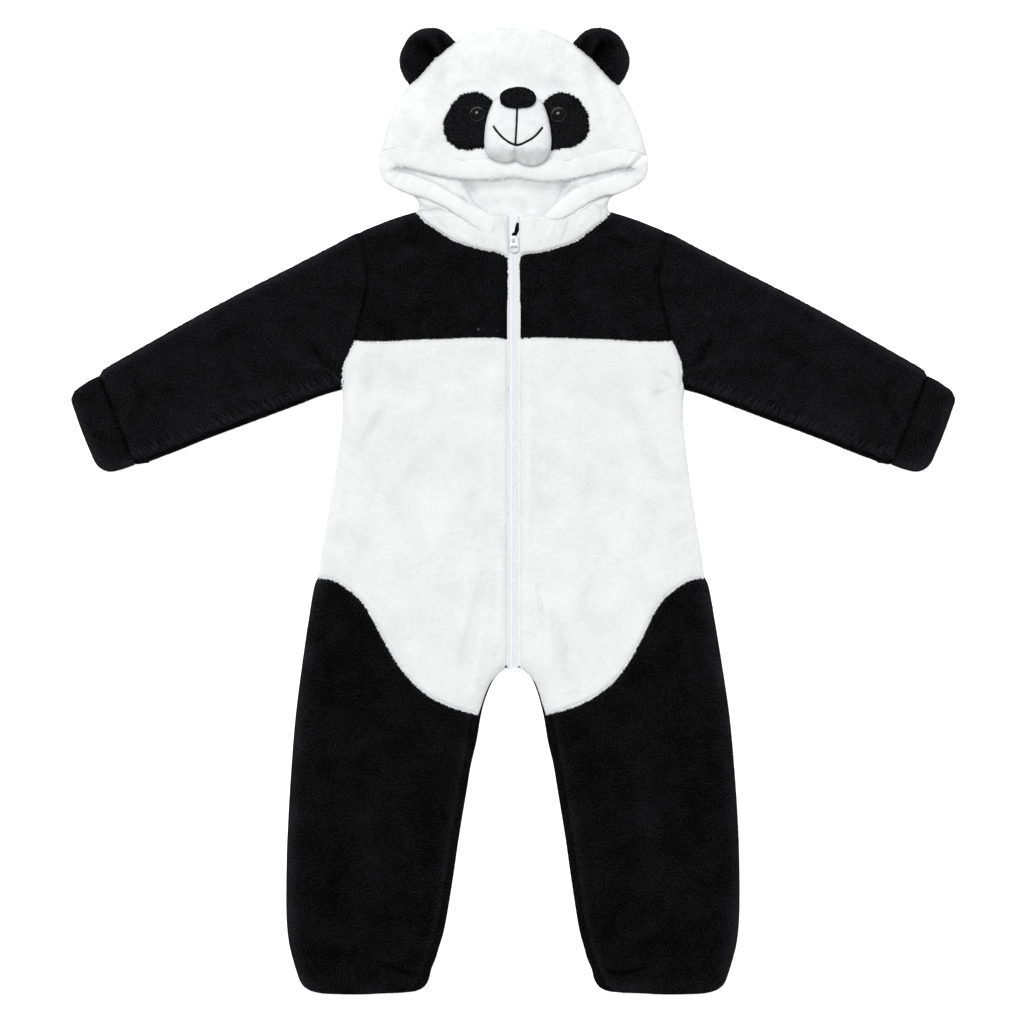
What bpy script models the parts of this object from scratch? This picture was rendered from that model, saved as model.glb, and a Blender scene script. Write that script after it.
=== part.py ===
"""A child's panda onesie in plush, laid out flat on its back with its hood face up.

Millimetres inside this script, metres in the scene. The back layer lies on z = 0, the crown of the hood
points along +Y and the wearer's left is +X. Every cloth panel is an open surface drawn through rungs (an
inner and an outer point for each section) and given its wall by Solidify. The tables hold the half at +X,
and a function builds each piece for side = +1 (left) or -1 (right).
"""

import math

import bpy
from mathutils import Vector

# ---------------------------------------------------------------- driving sizes, mm
MM = 0.001
HALF_LENGTH = 531.5  # crown or hem from the middle
WALL = 3.0  # one layer of plush
SEAM = 0.3  # between two pieces at a seam
HOOD_WALL = 7.0  # the hood's face: outer plush and lining plush together
CUFF_WALL = 4.0  # the cuff is turned back on itself
EDGE_TOP = 6.5  # top of the front layer at the outline
FULL_TOP = 9.6  # top of the front layer inside the outline
EDGE_ROUND = 24.0  # how far in the front layer rises
HOOD_EDGE_TOP = 10.6
HOOD_FULL_TOP = 18.2
HOOD_ROUND = 45.0
LINING_TOP = 7.3
LINING_WALL = 4.0
SLEEVE_FOLD = 3.8  # radius of the fold along the top of a sleeve
CUFF_FOLD = 4.8
HEM_LINE = -508.0  # above this the leg is single, below it the hem is turned up
HEM_RAISE = 0.8
ZIP_EDGE = {1: 8.0, -1: 6.8}  # the front panels' edge from the zip's centre line
BINDING_EDGE = {1: 4.7, -1: 4.5}
ZIP_TOP, ZIP_BOTTOM = 323.5, -168.0
FACE_X = 4.4  # the face sits a little to the wearer's left of the zip
SLIDER_X = 0.5
TAPE_OUTER = 12.0
PIVOT_Y, PIVOT_Z = 300.2, 10.4  # the pull tab's axis, along X
LEFT, RIGHT = 1, -1
NAMES = {LEFT: "left", RIGHT: "right"}

# ---------------------------------------------------------------- tables, mm
# columns: y, x of the outline from armpit to hem
SIDE = (
    (133.3, 187.6), (104.3, 187.4), (51.5, 193.8), (-1.3, 202.6), (-54.1, 211.4), (-72.8, 215.4),
    (-120.1, 224.6), (-172.9, 232.3), (-225.7, 238.9), (-278.5, 243.3), (-331.3, 246.6), (-384.1, 248.8),
    (-450.1, 248.8), (-476.5, 246.6), (-502.9, 241.1), (-516.1, 236.0), (-524.0, 228.5), (-529.6, 214.0),
    (-HALF_LENGTH, 191.0),
)
# columns: y, x of the leg's inner edge from the front seam's end to the hem
INNER_LEG = (
    (-225.7, 34.9), (-252.1, 40.2), (-278.5, 46.8), (-304.9, 51.2), (-357.7, 60.0), (-410.5, 67.7),
    (-463.3, 77.0), (-489.7, 85.6), (-504.3, 91.1), (-514.9, 93.8), (-523.2, 98.1), (-528.9, 110.0),
    (-HALF_LENGTH, 141.0),
)
# columns: x, y of the shoulder from the neck corner to the sleeve
SHOULDER = ((106.6, 328.4), (120.0, 324.6), (148.7, 315.5), (168.5, 304.2))
# columns: x, y of the armhole from the shoulder to the armpit
ARMHOLE = (
    (168.5, 303.6), (164.5, 280.0), (160.4, 257.4), (163.8, 232.0), (169.8, 207.2), (175.1, 186.4),
    (187.8, 161.0), (189.6, 149.2), (187.6, 133.3),
)
# columns: x, y of the seam between the neck and the yoke, from the neck corner to the zip
NECK_SEAM = (
    (105.6, 327.0), (98.5, 318.8), (84.9, 309.3), (65.9, 297.1), (49.6, 290.3), (33.3, 285.5),
    (24.0, 283.6), (15.6, 281.8), (7.0, 277.0),
)
# columns: x, y of the neck's upper edge, a row for each row of NECK_SEAM
NECK_TOP = (
    (104.0, 338.4), (91.5, 338.0), (79.5, 333.0), (62.5, 323.4), (49.0, 312.0), (37.0, 307.0),
    (27.0, 307.6), (20.5, 324.6), (7.0, 325.0),
)
# columns: x, y on the front seam between body and leg, y at the zip or x, y at the crotch, y at the side
FRONT_SEAM = (
    (213.6, -73.4), (197.1, -76.6), (180.6, -87.1), (167.4, -98.7), (157.5, -113.5), (144.3, -138.3),
    (131.1, -161.4), (121.2, -176.2), (108.0, -191.1), (91.5, -204.3), (71.7, -214.2), (51.9, -220.8),
    (38.7, -224.1),
)
FRONT_SEAM_INNER = (
    (0.0, -73.0), (0.0, -80.0), (0.0, -92.0), (0.0, -104.0), (0.0, -118.0), (0.0, -138.0), (0.0, -155.0),
    (0.0, -167.9), (12.0, -174.5), (20.9, -186.1), (26.0, -198.5), (30.0, -209.0), (33.4, -219.5),
)
FRONT_SEAM_SIDE = (-74.0, -81.0, -92.0, -104.0, -118.0, -138.0, -158.0, -172.0, -186.0, -199.0, -211.0, -220.0, -227.0)
# columns: x, y on the back seam between body and legs, from the hip to the centre; y at the side
BACK_SEAM = ((213.6, -73.4), (197.0, -77.5), (176.0, -88.0), (150.0, -104.0), (120.0, -121.0), (86.0, -137.0), (48.0, -149.5), (0.0, -157.0))
BACK_SEAM_SIDE = (-74.0, -81.0, -94.0, -110.0, -127.0, -146.0, -164.0, -182.0)
# columns: x, y of the seat's inner edge, from the centre back seam to the leg; y at the side
SEAT = ((0.0, -174.4), (7.6, -174.7), (19.3, -187.0), (24.8, -200.3), (31.5, -220.0))
SEAT_SIDE = (-192.0, -196.0, -205.0, -215.0, -229.0)
# columns: x, y on the sleeve's top edge; x, y on its lower edge, from the armhole to the cuff seam
SLEEVE = (
    (168.7, 303.8, 187.8, 133.2), (183.0, 301.2, 198.0, 131.0), (215.0, 283.9, 218.0, 124.2), (256.5, 262.7, 258.0, 108.7),
    (308.2, 236.3, 305.0, 91.0), (356.6, 209.9, 350.0, 74.2), (403.9, 183.5, 388.0, 58.8),
    (436.0, 165.6, 405.0, 54.0), (454.0, 148.6, 417.2, 54.4),
)
# the same for the cuff, from its seam to its outer edge
CUFF = (
    (455.6, 147.4, 418.2, 53.4), (469.8, 140.0, 434.8, 47.2), (478.6, 134.2, 444.0, 46.8), (483.2, 124.6, 452.4, 52.0),
)
# columns: y, x of the hood's outline from the neck to the crown
HOOD = (
    (329.5, 105.2), (336.9, 103.2), (343.1, 105.8), (347.6, 110.9), (353.0, 125.3), (357.2, 133.5),
    (363.3, 141.8), (371.5, 145.9), (379.7, 147.5), (392.0, 145.9), (402.3, 143.8), (414.6, 140.7),
    (429.0, 135.6), (443.4, 129.5), (457.7, 121.2), (469.0, 112.6), (485.4, 96.6), (496.8, 86.0),
    (507.0, 74.0), (515.7, 62.7), (523.5, 49.4), (529.0, 31.0), (HALF_LENGTH, 9.0),
)
# columns: x on the brim's upper edge and on the hood's outline above it, for the hood's face
FACE_LOW = ((0.3, 385.0), (18.0, 383.8), (40.0, 383.6), (66.0, 385.7), (96.5, 390.9), (120.0, 394.9), (144.2, 395.6))
# columns: y, x of the lining
LINING = (
    (301.0, 32.0), (304.0, 40.0), (309.0, 50.0), (320.0, 66.0), (326.0, 72.2), (327.2, 73.4), (333.0, 80.0), (346.0, 91.0), (352.0, 97.0),
    (360.0, 103.0), (372.0, 107.0), (388.0, 110.0), (410.0, 112.0), (440.0, 106.0), (470.0, 84.0), (495.0, 52.0), (506.0, 22.0),
)
LINING_SLOT = 15.0  # below the neck's top the lining keeps this far from the zip
# columns: x, y outside; x, y inside; lowest and highest point of the band that edges the hood's mouth
BRIM = (
    (0.3, 384.4, 0.3, 367.6, 8.4, 18.0), (17.0, 383.2, 16.0, 364.8, 8.4, 18.0), (40.0, 383.0, 38.0, 364.8, 8.4, 18.1),
    (66.2, 385.1, 60.0, 365.0, 8.6, 19.6), (96.5, 390.3, 92.0, 369.6, 9.0, 20.2), (120.0, 394.3, 113.0, 373.4, 8.6, 20.0),
    (145.4, 395.0, 128.0, 377.4, 5.2, 17.0), (147.5, 379.7, 130.5, 375.6, 3.8, 15.5), (143.0, 364.6, 128.0, 374.0, 3.6, 15.0),
    (131.0, 355.8, 119.0, 371.4, 6.4, 15.2), (112.0, 348.2, 106.5, 367.6, 7.7, 16.2), (98.0, 341.6, 90.4, 362.0, 7.7, 16.8),
    (80.5, 336.2, 69.5, 351.4, 7.7, 16.4), (59.6, 323.2, 51.0, 340.6, 8.8, 16.2), (43.0, 311.6, 36.5, 330.6, 8.9, 15.8),
    (31.0, 309.6, 28.0, 325.0, 9.0, 14.0),
)
# columns: degrees, radius of each outline about its centre, counted from the side away from the face's middle
EAR = (
    (0, 31.2), (25, 32.8), (50, 31.6), (75, 31.0), (100, 31.0), (125, 31.0), (146, 31.0), (153, 29.0), (160, 16.2),
    (185, 7.6), (212, 5.2), (250, 6.0), (287, 13.6), (298, 24.6), (305, 34.6), (318, 36.5), (337, 35.0),
)
EAR_CENTRE = (92.0, 500.0)
PATCH = ((0, 25.7), (30, 24.8), (60, 27.0), (90, 30.5), (120, 32.0), (150, 24.4), (180, 14.8), (210, 15.6), (240, 27.4), (270, 29.6), (300, 29.0), (330, 28.0))
PATCH_CENTRE = (53.4, 428.2)
MUZZLE = ((0, 36.8), (30, 37.8), (60, 43.0), (90, 47.3), (120, 43.0), (150, 37.8), (180, 36.8), (210, 41.6), (240, 41.8), (270, 36.4), (300, 41.8), (330, 41.6))
MUZZLE_CENTRE = (0.0, 416.7)
# columns: share of the outline's radius, height, shift along y
MUZZLE_RINGS = ((1.0, 18.6, 0.0), (1.03, 24.0, 0.0), (0.97, 33.0, 1.0), (0.78, 41.5, 3.0), (0.44, 45.5, 6.0))
EAR_FRONT_RINGS = ((1.0, 5.4), (0.99, 8.0), (0.9, 11.4), (0.66, 13.2), (0.3, 13.8))
EAR_BACK_RINGS = ((0.84, 0.0), (0.95, 1.0), (1.0, 3.2), (1.0, 5.0))
PATCH_RINGS = ((1.0, 18.5, 0.0), (0.98, 20.0, 0.0), (0.6, 20.3, 0.0))
# columns: x, y from, x, y to, half width, depth of the largest folds in the front layer
FOLDS = (
    (-32.7, -71.7, -58.0, -172.9, 11.0, 1.6), (-83.8, 72.4, -130.0, 9.7, 16.0, 1.4),
    (-158.6, 158.2, -158.6, 119.7, 9.0, 1.4), (-139.9, 110.9, -171.8, 63.6, 10.0, 1.4),
    (28.4, -94.8, 33.9, -125.6, 6.0, 1.8), (55.9, -147.6, 61.4, -179.5, 9.0, 1.4),
    (121.9, 117.5, 156.0, 50.4, 14.0, 1.4), (-17.8, -150.0, -17.8, -170.0, 7.0, 1.4),
)
# columns: y, half width of the pull tab
PULL = ((301.0, 2.4), (298.0, 2.9), (295.0, 4.0), (291.6, 5.8), (289.0, 6.2), (286.4, 6.0), (284.4, 4.7), (283.6, 2.6))
# columns: radius, height of an eye above its patch
EYE = ((0.0, 0.0), (8.2, 0.0), (8.6, 0.5), (8.2, 1.1), (6.6, 1.3), (6.2, 2.8), (4.8, 4.4), (2.6, 5.4), (0.0, 5.7))
EYE_CENTRE = (44.7, 436.2)
EYE_BASE = 20.7
NOSE_CENTRE = (5.2, 454.5, 43.0)
NOSE_HALF = (20.0, 12.6, 7.2)
NOSE_TILT = -24.0  # degrees about X: its upper edge leans back to the forehead

# ---------------------------------------------------------------- the scene and its materials
for old in list(bpy.data.objects):
    bpy.data.objects.remove(old, do_unlink=True)
COLLECTION = bpy.data.collections.new("panda_onesie")
CUTTERS = bpy.data.collections.new("cutters")
for made in (COLLECTION, CUTTERS):
    bpy.context.scene.collection.children.link(made)


def material(name, colour, roughness, metallic=0.0):
    made = bpy.data.materials.new(name)
    made.use_nodes = True
    shader = made.node_tree.nodes["Principled BSDF"]
    shader.inputs["Base Color"].default_value = (*colour, 1.0)
    shader.inputs["Roughness"].default_value = roughness
    shader.inputs["Metallic"].default_value = metallic
    made.diffuse_color = (*colour, 1.0)
    return made


BLACK = material("black_plush", (0.012, 0.012, 0.014), 0.95)
WHITE = material("white_plush", (0.86, 0.87, 0.88), 0.95)
SHORT_WHITE = material("white_short_plush", (0.82, 0.83, 0.84), 0.9)
SHORT_BLACK = material("black_short_plush", (0.010, 0.010, 0.011), 0.9)
TAPE = material("zip_tape", (0.80, 0.81, 0.84), 0.7)
METAL = material("painted_metal", (0.72, 0.73, 0.75), 0.35, 0.2)
GLOSS = material("black_eye_plastic", (0.006, 0.006, 0.007), 0.08)


# ---------------------------------------------------------------- geometry helpers
def at(table, y):
    """x of a (y, x) table at y, by a smooth curve that doesn't overshoot its rows."""
    rows = sorted(table)
    ys, xs = [r[0] for r in rows], [r[1] for r in rows]
    if y <= ys[0]:
        return xs[0]
    if y >= ys[-1]:
        return xs[-1]
    k = max(i for i in range(len(ys) - 1) if ys[i] <= y)
    step = [(xs[i + 1] - xs[i]) / (ys[i + 1] - ys[i]) for i in range(len(ys) - 1)]

    def slope(i):
        if i == 0 or i == len(ys) - 1:
            return step[min(i, len(step) - 1)]
        a, b = step[i - 1], step[i]
        return 0.0 if a * b <= 0 else 2 * a * b / (a + b)

    h = ys[k + 1] - ys[k]
    t = (y - ys[k]) / h
    return (
        xs[k] * (2 * t**3 - 3 * t**2 + 1) + h * slope(k) * (t**3 - 2 * t**2 + t)
        + xs[k + 1] * (3 * t**2 - 2 * t**3) + h * slope(k + 1) * (t**3 - t**2)
    )


def moved(points, toward, gap=SEAM / 2):
    """A seam's points moved by half the seam's gap, at right angles to the seam, to the side that toward is on."""
    found = []
    for i, p in enumerate(points):
        a, b = Vector(points[max(i - 1, 0)]), Vector(points[min(i + 1, len(points) - 1)])
        along = (b - a).normalized()
        across = Vector((-along.y, along.x))
        middle = Vector(toward) - Vector(p)
        across = across if across.dot(middle) > 0 else -across
        found.append((p[0] + across.x * gap, p[1] + across.y * gap))
    return found


def distance(x, y, line):
    """From a point to a line of points, in plan."""
    best = 1e9
    p = Vector((x, y))
    for a, b in zip(line, line[1:]):
        a, b = Vector(a), Vector(b)
        along = b - a
        t = max(0.0, min(1.0, (p - a).dot(along) / along.length_squared)) if along.length_squared else 0.0
        best = min(best, (a + along * t - p).length)
    return best


def rise(d, width):
    return math.sin(math.pi / 2 * max(0.0, min(1.0, d / width)))


def samples(table, start, end, count):
    return [(at(table, start + (end - start) * i / (count - 1)), start + (end - start) * i / (count - 1)) for i in range(count)]


CROTCH = list(FRONT_SEAM_INNER[9:])
OUTLINES = (
    list(SHOULDER) + [(t[0], t[1]) for t in SLEEVE],
    [(t[2], t[3]) for t in reversed(SLEEVE)] + samples(SIDE, 133.3, -516.0, 40),
    CROTCH + samples(INNER_LEG, -225.7, -514.0, 24),
)
HOOD_OUTLINE = samples(HOOD, 343.0, HALF_LENGTH, 44) + [(0.0, HALF_LENGTH)]


def fold_depth(x, y):
    """How far the fold table lowers the front layer."""
    low = 0.0
    for x0, y0, x1, y1, half, depth in FOLDS:
        d = distance(x, y, ((x0, y0), (x1, y1)))
        if d < half:
            low = max(low, depth * (0.5 + 0.5 * math.cos(math.pi * d / half)))
    return low


def front_top(x, y):
    """Height of the front layer's upper face."""
    d = min(distance(abs(x), y, line) for line in OUTLINES)
    lift = rise(d, EDGE_ROUND)
    top = EDGE_TOP + (FULL_TOP - EDGE_TOP) * lift - fold_depth(x, y) * lift * rise(abs(x) - TAPE_OUTER, 10.0)
    return top + (HEM_RAISE * lift if y < HEM_LINE else 0.0)


def hood_top(x, y):
    """Height of the hood's face."""
    return HOOD_EDGE_TOP + (HOOD_FULL_TOP - HOOD_EDGE_TOP) * rise(distance(max(abs(x), 26.0), y, HOOD_OUTLINE), HOOD_ROUND)


def new_object(name, verts, faces, colour):
    mesh = bpy.data.meshes.new(name)
    mesh.from_pydata([Vector(v) * MM for v in verts], [], faces)
    mesh.materials.append(colour)
    mesh.validate()
    mesh.shade_smooth()
    mesh.set_sharp_from_angle(angle=math.radians(40))
    made = bpy.data.objects.new(name, mesh)
    COLLECTION.objects.link(made)
    return made


def faces_up(grid):
    """Whether a grid's faces, as shell lists them, point up."""
    total = 0.0
    for a, b in zip(grid, grid[1:]):
        for i in range(len(a) - 1):
            total += (b[i][0] - a[i + 1][0]) * (b[i + 1][1] - a[i][1]) - (b[i + 1][0] - a[i][0]) * (b[i][1] - a[i + 1][1])
    return total > 0


def shell(name, grid, colour, wall=WALL, flip=None):
    """An open surface through a grid of points, with its wall below it, or inside it where flip says which way it faces."""
    rows, cols = len(grid), len(grid[0])
    verts = [p for row in grid for p in row]
    flip = not faces_up(grid) if flip is None else flip
    faces = [
        (r * cols + c, (r + 1) * cols + c, (r + 1) * cols + c + 1, r * cols + c + 1)
        for r in range(rows - 1) for c in range(cols - 1)
    ]
    made = new_object(name, verts, [f[::-1] for f in faces] if flip else faces, colour)
    solid = made.modifiers.new("wall", "SOLIDIFY")
    solid.thickness = wall * MM
    solid.offset = -1.0
    solid.use_even_offset = True
    return made


def panel(name, rungs, side, height, colour, columns, wall=WALL):
    """A cloth panel across rungs of (inner, outer) points, at the height that height(x, y) gives."""
    grid = []
    for inner, outer in rungs:
        row = []
        for c in range(columns):
            t = c / (columns - 1)
            t = 0.5 - 0.5 * math.cos(math.pi * t) if columns > 3 else t
            x = side * (inner[0] + (outer[0] - inner[0]) * t)
            y = inner[1] + (outer[1] - inner[1]) * t
            row.append((x, y, height(x, y)))
        grid.append(row)
    return shell(name, grid, colour, wall)


def loft(name, rings, colour, side=1):
    """A closed body through rings of points, with a fan on each end."""
    n = len(rings[0])
    verts = [p for ring in rings for p in ring]
    faces = [
        (r * n + i, r * n + (i + 1) % n, (r + 1) * n + (i + 1) % n, (r + 1) * n + i)
        for r in range(len(rings) - 1) for i in range(n)
    ]
    faces += [tuple(reversed(range(n))), tuple((len(rings) - 1) * n + i for i in range(n))]
    return new_object(name, verts, [f[::-1] for f in faces] if side < 0 else faces, colour)


def polar(table, centre, side, share=1.0, shift=0.0, about=0.0):
    """A ring in plan from a table of degrees and radii, mirrored for the right, with the middle of the pair at x = about."""
    ring = []
    for degrees, radius in table:
        a = math.radians(degrees)
        ring.append((about + side * (centre[0] + radius * share * math.cos(a)), centre[1] + shift + radius * share * math.sin(a)))
    return ring


def pad(name, table, centre, rings, colour, side=1, about=0.0):
    """A soft form from a coarse cage: rings of an outline, smoothed once by Subdivision Surface, flat underneath."""
    cage = [[(x, y, z) for x, y in polar(table, centre, side, share * 1.025, shift, about)] for share, z, shift in rings]
    n = len(table)
    verts = [p for ring in cage for p in ring]
    faces = [
        (r * n + i, r * n + (i + 1) % n, (r + 1) * n + (i + 1) % n, (r + 1) * n + i)
        for r in range(len(cage) - 1) for i in range(n)
    ]
    faces += [tuple(reversed(range(n))), tuple((len(cage) - 1) * n + i for i in range(n))]
    if side < 0:
        faces = [f[::-1] for f in faces]
    made = new_object(name, verts, faces, colour)
    smooth = made.modifiers.new("soft", "SUBSURF")
    smooth.levels = smooth.render_levels = 1
    crease = made.data.attributes.new("crease_edge", "FLOAT", "EDGE")
    for edge in made.data.edges:
        if edge.vertices[0] < n and edge.vertices[1] < n:
            crease.data[edge.index].value = 1.0
    return made


def folded(name, stations, side, across, colour, wall, radius, edge_top, mid_top, bend=None):
    """A piece folded along its top edge: front layer, fold and back layer in one open surface, with its wall inside.
    stations are rows of a top and a lower point, across the shares of the way up, bend an outline that the first row takes."""
    grid = []
    for k, (tx, ty, lx, ly) in enumerate(stations):
        low, top = Vector((lx, ly)), Vector((tx, ty))
        up = (top - low).normalized()
        top = top - up * radius
        flat = [low + (top - low) * s for s in across]
        if bend and k == 0:
            last = Vector(bend[-1]) - Vector(bend[-2])
            up = last.normalized()
            flat = [Vector(p) for p in bend[:-1]] + [Vector(bend[-1]) - up * radius]
        elif bend and k < 3:
            first, last = Vector(bend[0]), Vector(bend[-1])
            for i, s in enumerate(across):
                flat[i].x += (Vector(bend[i]).x - (first + (last - first) * s).x) * (1.0, 0.6, 0.2)[k]
        full = (top - low).length
        row = []
        for i, p in enumerate(flat):
            d = full * across[i]
            z = mid_top - (mid_top - edge_top) * (1 - rise(d, EDGE_ROUND)) - (mid_top - 2 * radius) * (1 - rise(full - d, EDGE_ROUND))
            row.append((side * p.x, p.y, z))
        end = flat[-1]
        for step in (45, 0, -45):
            a = math.radians(step)
            out = end + up * radius * math.cos(a)
            row.append((side * out.x, out.y, radius + radius * math.sin(a)))
        row += [(side * p.x, p.y, 0.0) for p in reversed(flat)]
        grid.append(row)
    return shell(name, grid, colour, wall, flip=side < 0)


# ---------------------------------------------------------------- front and back panels
def zip_line(side, points):
    """Points at x = 0 moved out to the edge of the front opening."""
    return [(max(x, ZIP_EDGE[side]), y) for x, y in points]


YOKE_SEAM_Y = {"zip": 189.9, "arm": 186.4}

for side in (LEFT, RIGHT):
    word = NAMES[side]
    edge = ZIP_EDGE[side]
    neck = moved(NECK_SEAM, (60.0, 200.0))
    neck[-1] = (edge, neck[-1][1])
    inner = [neck[0], neck[1], neck[2], neck[3], neck[4], neck[5], neck[7], neck[8]]
    outer = [(110.5, 327.0), (120.0, 324.6), (148.7, 315.5), (168.1, 303.7)] + moved(ARMHOLE, (60.0, 200.0))[1:6]
    inner = inner + [(edge, 235.0)]
    rungs = [(inner[i], outer[i]) for i in range(8)]
    rungs += [((edge, YOKE_SEAM_Y["zip"] + SEAM / 2), (outer[8][0], YOKE_SEAM_Y["arm"] + SEAM / 2))]
    panel(f"front_yoke_{word}", rungs, side, front_top, BLACK, 8)

    arm = moved(ARMHOLE, (60.0, 150.0))[6:]
    rungs = [((edge, YOKE_SEAM_Y["zip"] - SEAM / 2), (moved(ARMHOLE, (60.0, 150.0))[5][0], YOKE_SEAM_Y["arm"] - SEAM / 2))]
    rungs += [((edge, p[1]), p) for p in arm]
    rungs += [((edge, y), (at(SIDE, y), y)) for y in (104.0, 72.0, 40.0, 8.0, -24.0, -50.0)]
    seam = moved(FRONT_SEAM, (60.0, -60.0))
    crotch = zip_line(side, FRONT_SEAM_INNER)
    rungs += list(zip(crotch, seam))
    panel(f"front_body_{word}", rungs, side, front_top, WHITE, 7)

    seam = moved(FRONT_SEAM, (150.0, -400.0))
    rungs = [(seam[i], (at(SIDE, y), y)) for i, y in enumerate(FRONT_SEAM_SIDE)]
    rungs += [((at(INNER_LEG, y), y), (at(SIDE, y - 2.0), y - 2.0)) for y in (-235.0, -262.0, -295.0, -335.0, -380.0, -425.0, -465.0, -490.0, HEM_LINE + 1.0)]
    rungs += [((at(INNER_LEG, y), y), (at(SIDE, y), y)) for y in (-513.0, -521.5, -528.0, -HALF_LENGTH)]
    panel(f"leg_front_{word}", rungs, side, front_top, BLACK, 6)

    back = moved(BACK_SEAM, (150.0, -400.0))
    back[-1] = (SEAM / 2, back[-1][1])
    rungs = [(back[i], (at(SIDE, y), y)) for i, y in enumerate(BACK_SEAM_SIDE)]
    rungs += [((max(x, SEAM / 2), sy), (at(SIDE, y), y)) for (x, sy), y in zip(SEAT, SEAT_SIDE)]
    rungs += [((at(INNER_LEG, y) - 1.6, y), (at(SIDE, y), y)) for y in (-252.0, -295.0, -345.0, -400.0, -450.0, -490.0, -513.0, -521.5, -528.0, -HALF_LENGTH)]
    panel(f"leg_back_{word}", rungs, side, lambda x, y: WALL, BLACK, 2)

    up = [0.0]
    for a, b in zip(ARMHOLE[::-1], ARMHOLE[::-1][1:]):
        up.append(up[-1] + (Vector(b) - Vector(a)).length)
    up = [u / up[-1] for u in up]
    armhole = moved(ARMHOLE, (300.0, 150.0))[::-1]
    folded(f"sleeve_{word}", SLEEVE, side, up, BLACK, WALL, SLEEVE_FOLD, EDGE_TOP, FULL_TOP, armhole)
    folded(f"cuff_{word}", CUFF, side, (0.0, 0.08, 0.3, 0.55, 0.8, 1.0), BLACK, CUFF_WALL, CUFF_FOLD, 8.5, 11.0)

# the back: one yoke and one body, cut whole
half = [((0.0, 320.3), (105.0, 328.0)), ((0.0, 312.0), (120.0, 324.6)), ((0.0, 303.0), (148.7, 315.5)), ((0.0, 293.0), (168.1, 303.7))]
half += [((0.0, y), p) for y, p in zip((275.0, 255.0, 232.0, 209.0), moved(ARMHOLE, (60.0, 200.0))[1:5])]
half += [((0.0, YOKE_SEAM_Y["zip"] + SEAM / 2), (moved(ARMHOLE, (60.0, 200.0))[5][0], YOKE_SEAM_Y["arm"] + SEAM / 2))]
whole = [((-b[0], b[1]), a, b) for a, b in half]
shell("back_yoke", [[(x, y, WALL) for x, y in row] for row in whole], BLACK)
half = [((0.0, YOKE_SEAM_Y["zip"] - SEAM / 2), (moved(ARMHOLE, (60.0, 150.0))[5][0], YOKE_SEAM_Y["arm"] - SEAM / 2))]
half += [((0.0, p[1]), p) for p in moved(ARMHOLE, (60.0, 150.0))[6:]]
half += [((0.0, y), (at(SIDE, y), y)) for y in (104.0, 60.0, 16.0, -24.0, -50.0)]
half += [((0.0, y), p) for y, p in zip((-80.0, -92.0, -105.0, -118.0, -132.0, -143.0, -151.0), moved(BACK_SEAM, (60.0, -20.0))[:-1])]
whole = [((-b[0], b[1]), a, b) for a, b in half]
shell("back_body", [[(x, y, WALL) for x, y in row] for row in whole] + [[(-16.0, -154.6, WALL), (0.0, -156.8, WALL), (16.0, -154.6, WALL)]], WHITE)

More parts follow.
